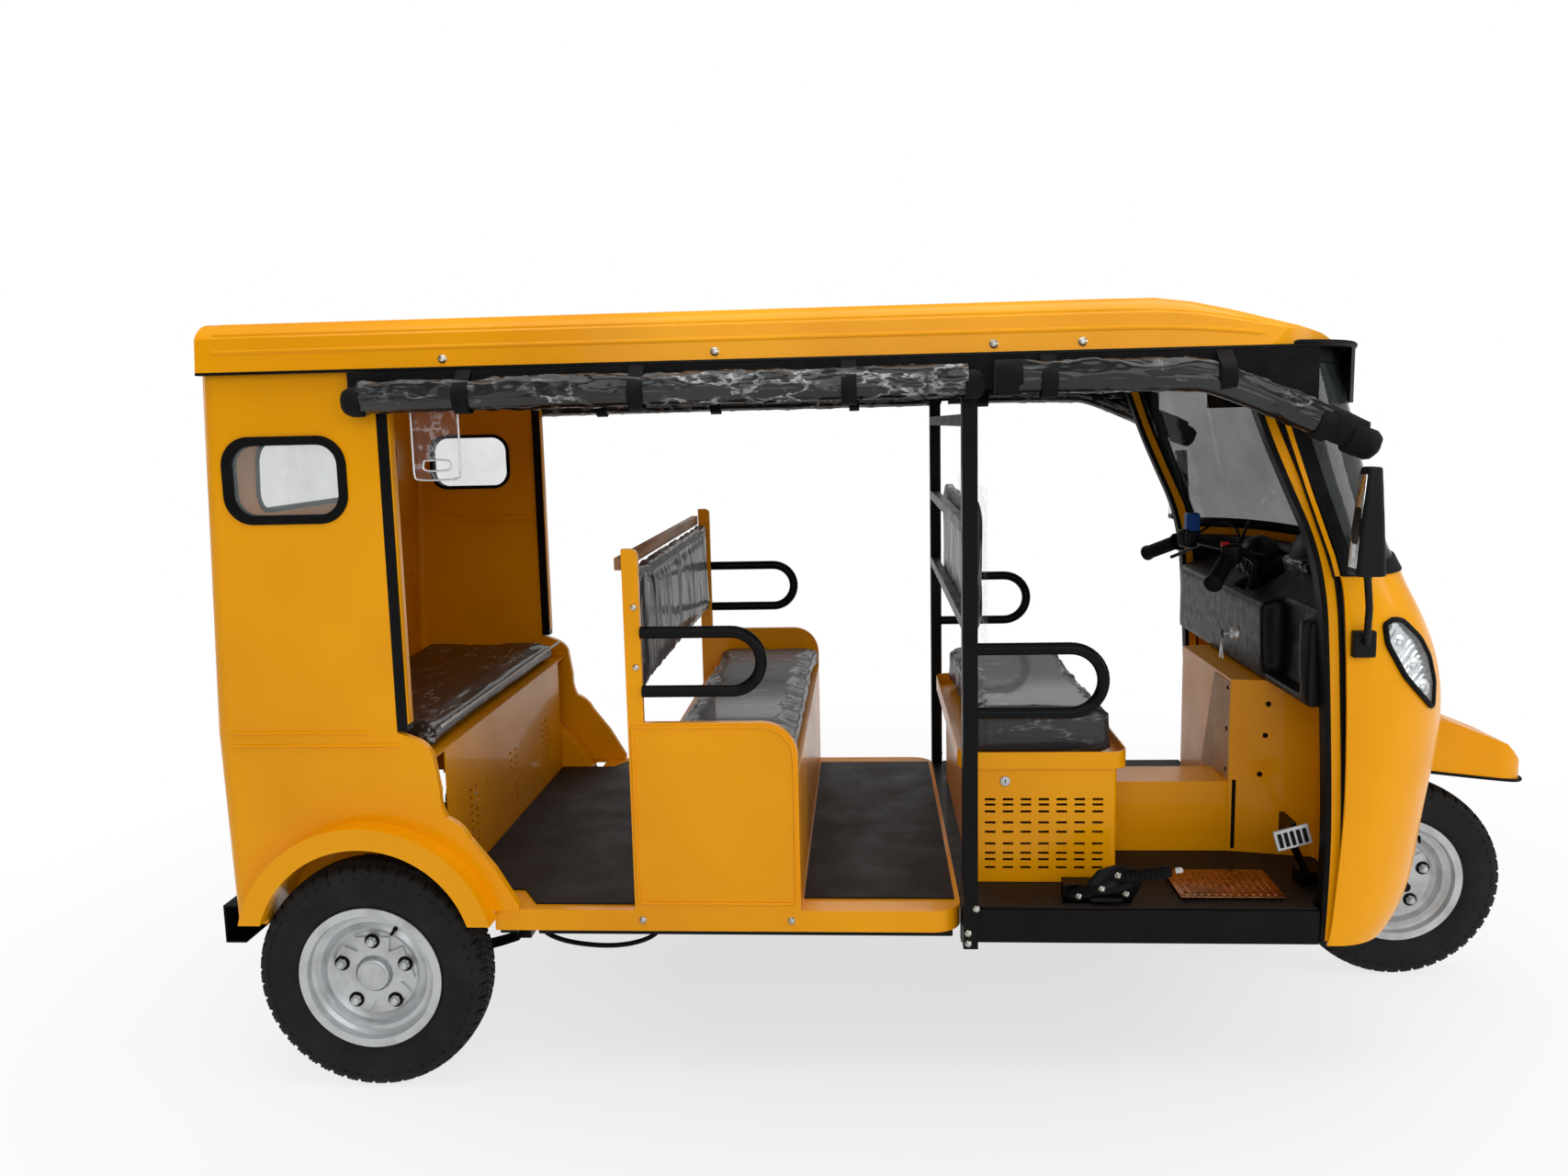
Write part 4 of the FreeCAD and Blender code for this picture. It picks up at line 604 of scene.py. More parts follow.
wheelPlan = {
    "rear_tyre_right": {"body": "rear_wheel_right", "place": (-1.243, -0.619, 0.27), "out": -1},
    "rear_tyre_left": {"body": "rear_wheel_left", "place": (-1.243, 0.619, 0.27), "out": 1},
    "front_tyre": {"body": "front_wheel", "place": (1.315, 0.0, 0.27), "out": -1},
}
treadLook = {
    "lugs": 48, "samples": 18, "gap": 0.27, "depth": 0.0075, "sipe": 0.0035, "sipeWidth": 0.07,
    "shoulderY": 0.025, "grooveWidth": 0.0045, "zigzag": 0.004,
}

# across the tyre: distance from the middle plane, radius, share of the tread that cuts here
tyreProfile = [
    (0.000, 0.2699, 1.0), (0.003, 0.2699, 1.0), (0.007, 0.2698, 1.0), (0.012, 0.2696, 1.0),
    (0.017, 0.2693, 1.0), (0.021, 0.2690, 1.0), (0.024, 0.2687, 1.0), (0.0265, 0.2684, 1.0),
    (0.029, 0.2680, 1.0), (0.033, 0.2673, 1.0), (0.038, 0.2660, 1.0), (0.042, 0.2646, 1.0),
    (0.0465, 0.2618, 1.0), (0.0500, 0.2570, 1.0), (0.0522, 0.2510, 0.9), (0.0536, 0.2450, 0.7),
    (0.0542, 0.2400, 0.45), (0.0536, 0.2372, 0.0), (0.0546, 0.2300, 0.0), (0.0557, 0.2180, 0.0),
    (0.0559, 0.2060, 0.0), (0.0552, 0.1960, 0.0), (0.0556, 0.1930, 0.0), (0.0548, 0.1900, 0.0),
    (0.0534, 0.1820, 0.0), (0.0510, 0.1750, 0.0), (0.0480, 0.1700, 0.0), (0.0462, 0.1640, 0.0),
    (0.0455, 0.1540, 0.0),
]


def treadCut(turn, y):
    # how deep the tread is cut at a place: turn counts lugs round the tyre, y runs across it
    t = treadLook
    slot = (turn + (0.5 if y < 0 else 0.0)) % 1.0
    wave = t["zigzag"] * (abs((turn * 2) % 2 - 1) * 2 - 1)
    if abs(y) > t["shoulderY"] + wave + t["grooveWidth"] / 2:
        if slot < t["gap"]:
            return t["depth"]
        return t["sipe"] if min(abs(slot - 0.52), abs(slot - 0.76)) < t["sipeWidth"] / 2 else 0.0
    if abs(abs(y) - t["shoulderY"] - wave) <= t["grooveWidth"] / 2 or abs(y - wave) < 0.002:
        return t["depth"] * 0.8
    return t["sipe"] if (turn * 2 + y * 40) % 1.0 < 0.16 else 0.0


def makeTyre(name, plan):
    count = treadLook["lugs"] * treadLook["samples"]
    section = tyreProfile[::-1] + [(-y, r, share) for y, r, share in tyreProfile[1:]]
    slopes = []
    for i in range(len(section)):
        before, after = section[max(i - 1, 0)], section[min(i + 1, len(section) - 1)]
        along = Vector((after[0] - before[0], after[1] - before[1])).normalized()
        slopes.append((along.y, -along.x))
    verts = []
    for k in range(count):
        angle, turn = 2 * math.pi * k / count, k / treadLook["samples"]
        for (y, r, share), (dy, dr) in zip(section, slopes):
            sink = treadCut(turn, y) * share if share else 0.0
            radius, across = r - sink * abs(dr), y - sink * dy * (1 if dr <= 0 else -1)
            across = max(min(across, abs(y)), -abs(y)) if share else y
            verts.append(Vector(plan["place"]) + Vector((radius * math.cos(angle), across,
                                                         radius * math.sin(angle))))
    piece = meshPiece(name + "_treaded", verts, gridFaces(count, len(section), True), "tyre", plan["body"], 0.5)
    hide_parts(name)


rimLook = {"nuts": 5, "nutCircle": 0.079, "faceY": 0.026, "capY": 0.038,
           "valveAngle": 62, "valveCircle": 0.127, "valveY": 0.029}


def makeRimDetail(name, plan):
    # the nuts in their dark seats, the ring on the cap and the valve
    out, centre, look = plan["out"], Vector(plan["place"]), rimLook
    label = name.replace("tyre", "wheel")

    def onRim(angle, circle, y):
        return centre + Vector((math.cos(angle) * circle, out * y, math.sin(angle) * circle))

    parts = []
    for k in range(look["nuts"]):
        spot = onRim(math.radians(90 + 360 / look["nuts"] * k), look["nutCircle"], look["faceY"])
        parts += [fixing(kind, spot, (0, out, 0), body=plan["body"]) for kind in ("nutSeat", "nut", "nutDome")]
    merged(label + "_nuts", parts, plan["body"])
    if name != "front_tyre":
        fixing("hubCap", onRim(0, 0, look["capY"]), (0, out, 0), label + "_cap", plan["body"])
    angle = math.radians(look["valveAngle"])
    lean = (-math.cos(angle) * 0.5, out * 0.9, -math.sin(angle) * 0.5)
    fixing("valve", onRim(angle, look["valveCircle"], look["valveY"]), lean, label + "_valve", plan["body"])


for name, plan in wheelPlan.items():
    makeTyre(name, plan)
    makeRimDetail(name, plan)
print("stage: wheels made")


# seats

cushionPlan = {
    "rear_seat_cushion": {"inset": 0.010, "cap": 0.018, "pressure": 4.0, "fill": 0.8, "look": "clothShaded",
                          "run": (9, 2.5, 9), "crease": 0.0045},
    "middle_seat_cushion": {"inset": 0.010, "cap": 0.018, "pressure": 4.0, "fill": 0.8, "look": "cloth",
                            "run": (2.0, 9, 9), "crease": 0.006},
    "middle_seat_back": {"inset": 0.010, "cap": 0.014, "pressure": 4.0, "fill": 0.8, "look": "clothUp",
                         "run": (9, 14, 2.0), "crease": 0.006, "rearLimit": -0.630},
    "driver_seat_cushion": {"inset": 0.012, "cap": 0.020, "pressure": 4.0, "fill": 0.85, "look": "cloth",
                            "run": (2.0, 9, 9), "crease": 0.006},
    "driver_seat_back": {"inset": 0.009, "cap": 0.012, "pressure": 3.0, "fill": 0.7, "look": "clothUp",
                         "run": (9, 9, 2.0), "crease": 0.005},
}
cushionMesh = {"voxel": 0.0101, "quickVoxel": 0.014, "frames": 20, "quality": 4, "rimShare": 0.7,
               "margin": 0.0005}


def ridged(place):
    return noise.ridged_multi_fractal(Vector(place), 0.9, 2.1, 4, 0.9, 2.0)


def voxelCopy(name, suffix, size, inset=0.0):
    # an even mesh over a copy of a node's surface, smaller all round by an inset; it is left selected
    piece = bpy.data.objects.new(name + suffix, nodes[name].data.copy())
    bpy.context.scene.collection.objects.link(piece)
    low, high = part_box(name)
    middle = (low + high) / 2
    for v in piece.data.vertices if inset else ():
        for axis in range(3):
            reach = (high[axis] - low[axis]) / 2
            v.co[axis] = middle[axis] + (v.co[axis] - middle[axis]) * (reach - inset) / reach
    bpy.context.view_layer.objects.active = piece
    piece.select_set(True)
    remesh = piece.modifiers.new("voxels", "REMESH")
    remesh.mode = "VOXEL"
    remesh.voxel_size = size
    bpy.ops.object.modifier_apply(modifier="voxels")
    return piece


def dressed(piece, name, look):
    # takes the node's place, smooth and in one look
    piece.select_set(False)
    for face in piece.data.polygons:
        face.use_smooth = True
    piece.data.materials.clear()
    piece.data.materials.append(looks[look])
    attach(piece, "root")
    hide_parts(name)


def pointsOf(mesh):
    spots = np.empty(len(mesh.vertices) * 3)
    mesh.vertices.foreach_get("co", spots)
    return spots.reshape(-1, 3)


def swellCushion(name, plan):
    # a slightly smaller copy of the cushion's block, blown up as cloth, then creased near its faces
    m = cushionMesh
    piece = voxelCopy(name, "_pad", m["voxel"], plan["inset"])
    start = pointsOf(piece.data)
    cloth = piece.modifiers.new("cloth", "CLOTH")
    cloth.settings.use_pressure = True
    cloth.settings.uniform_pressure_force = plan["pressure"]
    cloth.settings.effector_weights.gravity = 0.0
    cloth.settings.quality = m["quality"]
    cloth.collision_settings.use_collision = False
    cloth.point_cache.frame_start = 1
    cloth.point_cache.frame_end = m["frames"]
    for frameNumber in range(1, m["frames"] + 1):
        bpy.context.scene.frame_set(frameNumber)
    bpy.ops.object.modifier_apply(modifier="cloth")
    bpy.context.scene.frame_set(1)
    moved = pointsOf(piece.data) - start
    length = np.linalg.norm(moved, axis=1, keepdims=True)
    ends = start + moved * np.minimum(1.0, plan["cap"] / np.maximum(length, 1e-9))
    low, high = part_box(name)
    middle, low, high = (np.array(spot) for spot in ((low + high) / 2, low, high))
    for index, spot in enumerate(ends):
        inward = np.sign(spot - middle) * (np.abs(spot - middle) > m["rimShare"] * (high - low) / 2)
        ends[index] -= inward * max(min(1.6 - ridged(spot * plan["run"]), 1.2), 0.0) * plan["crease"]
    ends = np.clip(ends, low + m["margin"], high - m["margin"])
    if "rearLimit" in plan:
        ends[:, 0] = np.maximum(ends[:, 0], plan["rearLimit"])
    piece.data.vertices.foreach_set("co", ends.ravel())
    divide = piece.modifiers.new("fine", "SUBSURF")
    divide.levels = divide.render_levels = 1
    dressed(piece, name, plan["look"])


for name, plan in cushionPlan.items():
    swellCushion(name, plan)
print("stage: cushions made")


# side curtains, rolled up

rollPlan = {
    "rearRoll": mm((-1205, 1580), (-940, 1583), (-400, 1585), (190, 1586)),
    "frontRoll": mm((165, 1590), (300, 1590), (560, 1588), (640, 1581), (948, 1438)),
    "y": 0.684, "step": 0.005, "around": 54, "turns": 1.2, "seam": 115, "outer": 0.0322, "inner": 0.0285,
    "core": 0.0262, "tall": 1.26, "lift": 0.009, "wrinkle": 0.0062, "fine": 0.0012, "pinch": 0.10,
    "pinchRun": 0.05, "slack": 0.05, "thinnest": 0.74, "widest": 0.0336,
    "straps": [-0.94, -0.567, -0.12, 0.29, 0.646], "ties": [0.842, 0.905],
    "strapRadius": 0.0345, "strapHalf": 0.016, "strapThick": 0.0016, "slope": (0.9, 0, -0.42),
    "caps": {"rear": ((-1.158, 1.5805), (-1, 0, 0), 0.0325, 0.046),
             "middle": ((0.118, 1.5855), (1, 0, 0.05), 0.0305, 0.040),
             "front": ((0.912, 1.4555), (0.9, 0, -0.42), 0.0325, 0.045)},
}


def rollLine(path, side, step):
    return alongPath([(x, side * rollPlan["y"], z) for x, z in path], step)


def rollSkin(name, path, side, start, end, sleeve=None, rough=1.0):
    # the skin of a roll: an open spiral of film, or a closed canvas sleeve of a given radius
    p = rollPlan
    spots, around, turns = rollLine(path, side, p["step"]), p["around"], 1.0 if sleeve else p["turns"]
    keep = [i for i in range(len(spots)) if start <= spots[i][0] <= end]
    verts = []
    for i in keep:
        x, ahead = spots[i][0], aheadAt(spots, i)
        near = min(abs(x - strap) for strap in p["straps"] + p["ties"])
        pinch = 1 - p["pinch"] * math.exp(-(near / p["pinchRun"]) ** 2)
        slack = 1 - p["slack"] * (0.5 + 0.5 * noise.noise(Vector((x * 4.3, side * 5, 0.3))))
        for k in range(around):
            share = k / around if sleeve else k / (around - 1)
            angle = math.radians(p["seam"]) - side * 2 * math.pi * turns * share
            radius = sleeve or p["outer"] + (p["inner"] - p["outer"]) * share
            ridge = ridged((x * 7, math.cos(angle) * 1.3 + side * 4, math.sin(angle) * 1.3 + turns * share))
            fine = noise.noise(Vector((x * 26, angle * 3.0, side * 7)))
            fold = (min(ridge, 2.0) - 1.35) * p["wrinkle"] * rough + fine * p["fine"] * rough
            r = min(max(radius * pinch * slack + fold, radius * p["thinnest"]), p["widest"])
            rise = math.sin(angle) * p["tall"] + p["lift"] / r
            out = Vector((0, math.cos(angle), 0)) + Vector((-ahead.z, 0, ahead.x)) * rise
            verts.append(Vector(spots[i]) + out * r)
    if sleeve:
        return meshPiece(name, verts, barFaces(len(keep), around), "canvas", "root", 1.2)
    return meshPiece(name, verts, gridFaces(len(keep), around), "roll", "root", 1.2)


def rollCore(name, path, side, start, end):
    points = [tuple(spot) for spot in rollLine(path, side, 0.03) if start <= spot[0] <= end]
    return tube(name, [points], rollPlan["core"], "roll", "root", 2)


def bundle(name, spot, direction, radius, length):
    # the gathered black end of a roll: a blunt, pleated cap
    shares = ((0.0, 0.94), (0.25, 1.0), (0.6, 0.97), (0.85, 0.8), (0.97, 0.5), (1.0, 0.12))
    profile = [(length * along, radius * out) for along, out in shares]
    piece = spun(name, profile, "canvas", "root", spot, direction, 40, 1.2)
    for v in piece.data.vertices:
        v.co += (v.co - Vector(spot)).normalized() * (noise.noise(v.co * 60) * 0.003)


def strapBand(name, x, side, z):
    # a webbing strap that hangs from the roof edge and goes round the roll
    p = rollPlan
    y, radius, half, thick = side * p["y"], p["strapRadius"], p["strapHalf"], p["strapThick"]
    line = [(side * 0.6715, 1.6440), (side * 0.6835, 1.6300), (side * 0.6950, z + 0.036)]
    for degrees in range(50, -205, -12):
        angle = math.radians(degrees)
        line.append((y + side * radius * math.cos(angle), z + radius * math.sin(angle)))
    verts = []
    for i, (a, b) in enumerate(line):
        before, after = line[max(i - 1, 0)], line[min(i + 1, len(line) - 1)]
        along = Vector((after[0] - before[0], after[1] - before[1])).normalized()
        normal = Vector((along.y, -along.x)) * side
        for dx, dn in ((-half, 0), (half, 0), (half, thick), (-half, thick)):
            verts.append((x + dx, a + normal.x * dn, b + normal.y * dn))
    meshPiece(name, verts, barFaces(len(line), 4), "canvas", "root", 0.7)


flapPlan = {"rear": -1.198, "front": 0.838, "top": 1.6445, "low": 1.575, "bend": 0.612, "fall": 0.40,
            "y": 0.6685, "wave": 0.0022, "columns": 190, "rows": 12}


def makeFlap(name, side):
    # the canvas edge that the curtain hangs from
    p = flapPlan
    verts, length = [], p["front"] - p["rear"]
    for j in range(p["rows"]):
        for i in range(p["columns"]):
            x = p["rear"] + length * i / (p["columns"] - 1)
            low = p["low"] - max(x - p["bend"], 0.0) * p["fall"]
            z = p["top"] + (low - p["top"]) * j / (p["rows"] - 1)
            wave = p["wave"] * noise.noise(Vector((x * 7, z * 12, side))) * min(1, j / 3)
            verts.append((x, side * (p["y"] + wave), z))
    piece = meshPiece(name, verts, gridFaces(p["rows"], p["columns"]), "canvas", "root", 2.0)
    declareSheet(piece, length)


def makeCurtain(side, label):
    p = rollPlan
    rear, front = p["rearRoll"], p["frontRoll"]
    core = rollCore("curtain_core_rear_" + label, rear, side, -1.16, 0.12)
    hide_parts("side_curtains")
    rollCore("curtain_core_front_" + label, front, side, 0.2, 0.86)
    for name, path, start, end in (("rear_", rear, -1.165, 0.125), ("front_", front, 0.232, 0.846)):
        piece = rollSkin("curtain_roll_" + name + label, path, side, start, end)
        declareSheet(piece, end - start)
    rollSkin("curtain_sleeve_" + label, front, side, 0.838, 0.918, 0.0315, 0.35)
    rollSkin("curtain_sleeve_middle_" + label, front, side, 0.176, 0.238, 0.0310, 0.5)
    for name, ((x, z), direction, radius, length) in p["caps"].items():
        bundle("curtain_end_%s_%s" % (name, label), (x, side * p["y"], z), direction, radius, length)
    for index, x in enumerate(p["straps"], 1):
        strapBand("curtain_strap_%s_%d" % (label, index), x, side, 1.5845 if x < 0.1 else 1.5885)
    for index, x in enumerate(p["ties"], 1):
        spot = (x, side * p["y"], 1.4885 - (x - p["ties"][0]) * 0.47)
        fixing("curtainTie", spot, p["slope"], "curtain_tie_%s_%d" % (label, index))
    makeFlap("curtain_flap_" + label, side)


for side, label in sides:
    makeCurtain(side, label)
print("stage: curtains made")


# door edges and windscreen trim

pillarLine = mm((706, 1623.7), (749, 1497), (813, 1350), (864, 1240), (890, 1130), (900, 1018), (918, 674),
                (921, 500), (915, 340))
screenLine = mm((752, 1648), (803, 1500), (856, 1350), (910, 1207), (922, 1165))

# line, offset ahead of it, width, nearest and farthest from the middle plane
sealPlan = {
    "door_seal_rear_": (pillarLine, -0.004, 0.012, 0.556, 0.5945),
    # the front strip fills the gap between pillar and nose, where the shaded inside shows: a dark strip standing in
    # for shade
    "door_gap_shade_front_": (pillarLine, 0.028, 0.014, 0.580, 0.5985),
    "screen_seal_": (screenLine, -0.016, 0.008, 0.596, 0.605),
}


def seal(name, side, line, offset, width, near, far, bevel=0.0015):
    # a rubber strip of even width that follows a line in the side view
    spots = alongPath([(x, 0.0, z) for x, z in line], 0.02)
    low, high = sorted((side * near, side * far))
    section = [(0, low + bevel), (bevel, low), (width - bevel, low), (width, low + bevel),
               (width, high - bevel), (width - bevel, high), (bevel, high), (0, high - bevel)]
    verts = []
    for i in range(len(spots)):
        ahead = aheadAt(spots, i)
        normal = Vector((-ahead.z, 0, ahead.x))
        if normal.x < 0:
            normal.negate()
        for out, y in section:
            spot = Vector(spots[i]) + normal * (offset + out)
            verts.append((spot.x, y, spot.z))
    meshPiece(name, verts, barFaces(len(spots), len(section)), "rubber", "root", 0.5)


for side, label in sides:
    for name, plan in sealPlan.items():
        seal(name + label, side, *plan)
print("stage: door edges made")


# roof trim

skins = {}
beside = 1.2  # rays that look for a side start this far from the middle plane


def onSkin(names, start, ahead, proud=0.0):
    # where a ray first meets some nodes, moved out by proud
    hits = []
    for name in names:
        if name not in skins:
            mesh, world = nodes[name].data, nodes[name].matrix_world
            skins[name] = BVHTree.FromPolygons([world @ v.co for v in mesh.vertices],
                                               [tuple(face.vertices) for face in mesh.polygons])
        spot, normal, _, distance = skins[name].ray_cast(Vector(start), Vector(ahead).normalized())
        if spot is not None:
            hits.append((distance, spot, normal))
    if not hits:
        return None
    _, spot, normal = min(hits, key=lambda hit: hit[0])
    return spot + (-normal if normal.dot(Vector(ahead)) > 0 else normal) * proud


def skinLine(names, starts, ahead, proud=0.0):
    # the places that rays meet, without those that meet nothing
    hits = [onSkin(names, start, ahead, proud) for start in starts]
    return [tuple(hit) for hit in hits if hit is not None]


def frontPlan(z, x0, x1, half, count):
    # the rounded plan of the front body
    spots = []
    for k in range(count):
        angle = math.pi / 2 * (2 * k / (count - 1) - 1)
        c, s = abs(math.cos(angle)), math.sin(angle)
        spots.append((x0 + (x1 - x0) * c ** 0.78, math.copysign(half * abs(s) ** 0.78, s), z))
    return spots


roofTrim = {
    "edge": 1.652, "shares": [0.35, 0.68, 0.86], "topY": [0.12, 0.30, 0.48], "topTo": 0.5, "radius": 0.007,
    "sunk": 0.0045, "from": -1.50, "to": 0.96, "count": 26, "above": 3, "boltX": [-0.989, -0.402, 0.181, 0.363],
    "boltZ": 1.668, "visor": (1.6555, 0.752, 1.043, 0.643, 41), "visorRadius": 0.0065,
}


def makeRoofTrim():
    t, shell, down = roofTrim, ["roof_shell"], (0, 0, -1)
    xs = [t["from"] + (t["to"] - t["from"]) * k / (t["count"] - 1) for k in range(t["count"])]
    crowns = [onSkin(shell, (x, 0, t["above"]), down).z for x in xs]
    lines = []
    for side, _ in sides:
        for share in t["shares"]:
            starts = [(x, side * beside, t["edge"] + (crown - t["edge"]) * share) for x, crown in zip(xs, crowns)]
            lines.append(skinLine(shell, starts, (0, -side, 0), -t["sunk"]))
        for y in t["topY"]:
            starts = [(x, side * y, t["above"]) for x in xs if x < t["topTo"]]
            lines.append(skinLine(shell, starts, down, -t["sunk"]))
    tube("roof_ribs", lines, t["radius"], "paint", "root", 3)
    bolts = []
    for side, _ in sides:
        spots = skinLine(shell, [(x, side * beside, t["boltZ"]) for x in t["boltX"]], (0, -side, 0))
        bolts += [fixing("roofBolt", spot, (0, side, 0)) for spot in spots]
    merged("roof_bolts", bolts)
    tube("visor_rim", [frontPlan(*t["visor"])], t["visorRadius"], "rubber", "root", 3)


makeRoofTrim()
print("stage: roof trim made")


# head and tail lamps

lampPlan = {
    "upper": mm((1013, 1062), (1034, 1073), (1060, 1068), (1112, 1024), (1142, 978), (1157, 919), (1152, 858)),
    "lower": mm((1013, 1062), (1020, 1018), (1066, 943), (1106, 902), (1152, 858)),
    "columns": 60, "rows": 16, "length": 0.27, "depth": 0.017, "edge": 0.010, "rib": 0.007, "ribDepth": 0.0022,
    "wall": 0.0012, "rim": 0.006, "rimShare": 0.965, "rimCount": 40, "bowls": (0.30, 0.55, 0.78),
    "bowlDepth": 0.0165,
}
tailPlan = {"width": 0.11, "corner": 0.016, "inset": 0.004, "radius": 0.0035}


def onLine(points, share):
    # a point at a share of a line's length
    spots = [Vector(spot) for spot in points]
    runs = [(b - a).length for a, b in zip(spots, spots[1:])]
    left = share * sum(runs)
    for a, b, run in zip(spots, spots[1:], runs):
        if left <= run:
            return a.lerp(b, left / run)
        left -= run
    return spots[-1]


def makeHeadlamp(side, label):
    p, near = lampPlan, ["headlamps", "nose_shell"]

    def inLamp(along, across):
        return onLine(p["upper"], along).lerp(onLine(p["lower"], along), across)

    def onLamp(names, spot, proud=0.0):
        return onSkin(names, (spot.x, side * beside, spot.y), (0, -side, 0), proud)

    verts = []
    for j in range(p["rows"]):
        across = 0.07 + 0.86 * j / (p["rows"] - 1)
        edge = p["edge"] * (2 * abs(across - 0.5)) ** 4
        for i in range(p["columns"]):
            along = 0.03 + 0.94 * i / (p["columns"] - 1)
            rib = p["ribDepth"] * (int(along * p["length"] / p["rib"]) % 2)
            verts.append(onLamp(near, inLamp(along, across), edge + rib - p["depth"]))
    piece = meshPiece("headlamp_reflector_" + label, verts, gridFaces(p["rows"], p["columns"]), "mirror",
                      "root", 0.4)
    piece.modifiers.new("wall", "SOLIDIFY").thickness = p["wall"]
    outline = p["upper"] + p["lower"][-2:0:-1]
    middle = sum((Vector(spot) for spot in outline), Vector((0, 0))) / len(outline)
    ring = [onLine(outline + outline[:1], k / p["rimCount"]) for k in range(p["rimCount"])]
    rim = [onLamp(["headlamps"], middle.lerp(spot, p["rimShare"])) for spot in ring]
    tube("headlamp_rim_" + label, [rim], p["rim"], "rubber", "root", 3, True)
    bowls = [onLamp(near, inLamp(share, 0.5), -p["bowlDepth"]) for share in p["bowls"]]
    merged("headlamp_bowls_" + label, [fixing("lampBowl", spot, (0.35, side, 0.1)) for spot in bowls])


def makeTailLamp(side, label):
    # the seal round one of the lamps at the back
    p = tailPlan
    low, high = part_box("tail_lamps")
    r, z0, z1 = p["corner"], low.z, high.z
    y0, y1 = (low.y, low.y + p["width"]) if side < 0 else (high.y - p["width"], high.y)
    ring = []
    for y, z, start in ((y1 - r, z1 - r, 0), (y0 + r, z1 - r, 90), (y0 + r, z0 + r, 180), (y1 - r, z0 + r, 270)):
        for step in range(0, 91, 30):
            angle = math.radians(start + step)
            ring.append((low.x + p["inset"], y + r * math.cos(angle), z + r * math.sin(angle)))
    tube("tail_lamp_seal_" + label, [ring], p["radius"], "rubber", "root", 4, True)


for side, label in sides:
    makeHeadlamp(side, label)
    makeTailLamp(side, label)
print("stage: lamps made")


# moulded parts that the frame gives with sharp edges

mouldPlan = {"dashboard": {"voxel": 0.0072, "rounds": 11}, "mirrors": {"voxel": 0.0035, "rounds": 6}}
mirrorPlan = {"x": (0.900, 0.903), "y": 0.729, "half": 0.020, "z": (1.198, 1.388), "lean": 4.2}


def mould(name, plan):
    # a copy of a node's surface with its edges rounded
    piece = voxelCopy(name, "_moulded", plan["voxel"] * (1))
    soften = piece.modifiers.new("soften", "SMOOTH")
    soften.factor = 0.5
    soften.iterations = plan["rounds"]
    bpy.ops.object.modifier_apply(modifier="soften")
    dressed(piece, name, "dash")


def makeMirrorGlass(side, label):
    p = mirrorPlan
    low, high = ((x, side * p["y"] + out * p["half"], z) for x, out, z in zip(p["x"], (-1, 1), p["z"]))
    softBlock("mirror_glass_" + label, low, high, "mirror", "root", 0.001, 2, ("Y", math.radians(p["lean"])))


for name, plan in mouldPlan.items():
    mould(name, plan)
for side, label in sides:
    makeMirrorGlass(side, label)
print("stage: moulded parts made")


# dashboard

# height, back and front of the rounded plan, its half width, and how far the lining is inside it
liningPlan = [
    (1.000, 0.935, 1.250, 0.617, 0.012), (1.060, 0.932, 1.221, 0.615, 0.012),
    (1.110, 0.927, 1.190, 0.6135, 0.012), (1.143, 0.922, 1.172, 0.612, 0.013),
    (1.147, 0.922, 1.172, 0.612, 0.045), (1.140, 0.922, 1.172, 0.612, 0.130),
]
hoodPlan = {
    "cluster_hood": {"centre": (1.046, -0.105, 1.115), "half": (0.054, 0.105, 0.108)},
    "left_hood": {"centre": (1.000, 0.165, 1.105), "half": (0.060, 0.075, 0.075)},
}
keyPlan = {"barrel": (0.842, -0.185, 0.968), "spares": (-0.35, 0.2), "ring": (0.799, -0.185, 0.950),
           "ringRadius": 0.010, "ringSteps": 8}


def makeLining(columns=49):
    verts = []
    for z, x0, x1, half, inset in liningPlan:
        verts += frontPlan(z, x0, x1 - inset, half - inset, columns)
    piece = meshPiece("dash_lining", verts, gridFaces(len(liningPlan), columns), "dash", "root", 1.0)
    piece.modifiers.new("wall", "SOLIDIFY").thickness = 0.002


def dome(name, centre, half):
    # a rounded hood, flat underneath
    work = bmesh.new()
    bmesh.ops.create_uvsphere(work, u_segments=36, v_segments=20, radius=1)
    for v in work.verts:
        squash = 1 - 0.12 * abs(v.co.y) ** 3
        v.co = Vector(centre) + Vector((v.co.x * half[0] * squash, v.co.y * half[1],
                                        max(v.co.z, -0.25) * half[2]))
    finished(name, work, "dash")


def makeKeys():
    p = keyPlan
    parts = [fixing("keyBarrel", p["barrel"], (-1, 0, 0)),
             softBlock("keyHead", (0.7985, -0.197, 0.958), (0.8005, -0.173, 0.978), "rubber", "root", 0.0008, 2),
             softBlock("keyBlade", (0.800, -0.188, 0.966), (0.824, -0.182, 0.970), "silver", "root", 0.0006, 2)]
    for index, lean in enumerate(p["spares"]):
        y = 0.012 * index
        parts.append(softBlock("spareKey", (0.7985, -0.196 + y, 0.905), (0.8002, -0.186 + y, 0.952), "silver",
                               "root", 0.0006, 2, ("X", lean)))
    merged("ignition_and_keys", parts)
    x, y, z = p["ring"]
    turns = [2 * math.pi * k / p["ringSteps"] for k in range(p["ringSteps"])]
    ring = [(x, y + p["ringRadius"] * math.sin(a), z + p["ringRadius"] * math.cos(a)) for a in turns]
    tube("key_ring", [ring], 0.0009, "silver", "root", 6, True)


makeLining()
for name, plan in hoodPlan.items():
    dome(name, **plan)
softBlock("cluster_face", (1.000, -0.180, 1.068), (1.032, -0.030, 1.150), "roll", "root", 0.012, 4,
          ("Y", math.radians(-18)))
makeKeys()
print("stage: dashboard made")


# handlebar

gripPlan = {"ends": ((793, 232, 1159), (729.5, 340.5, 1113.5)), "radius": 0.0188, "ribs": 17, "first": 0.012,
            "plain": 0.030}
leverLine = ((840, 185, 1166), (862, 215, 1158), (850, 270, 1138), (812, 345, 1104), (806, 352, 1101))


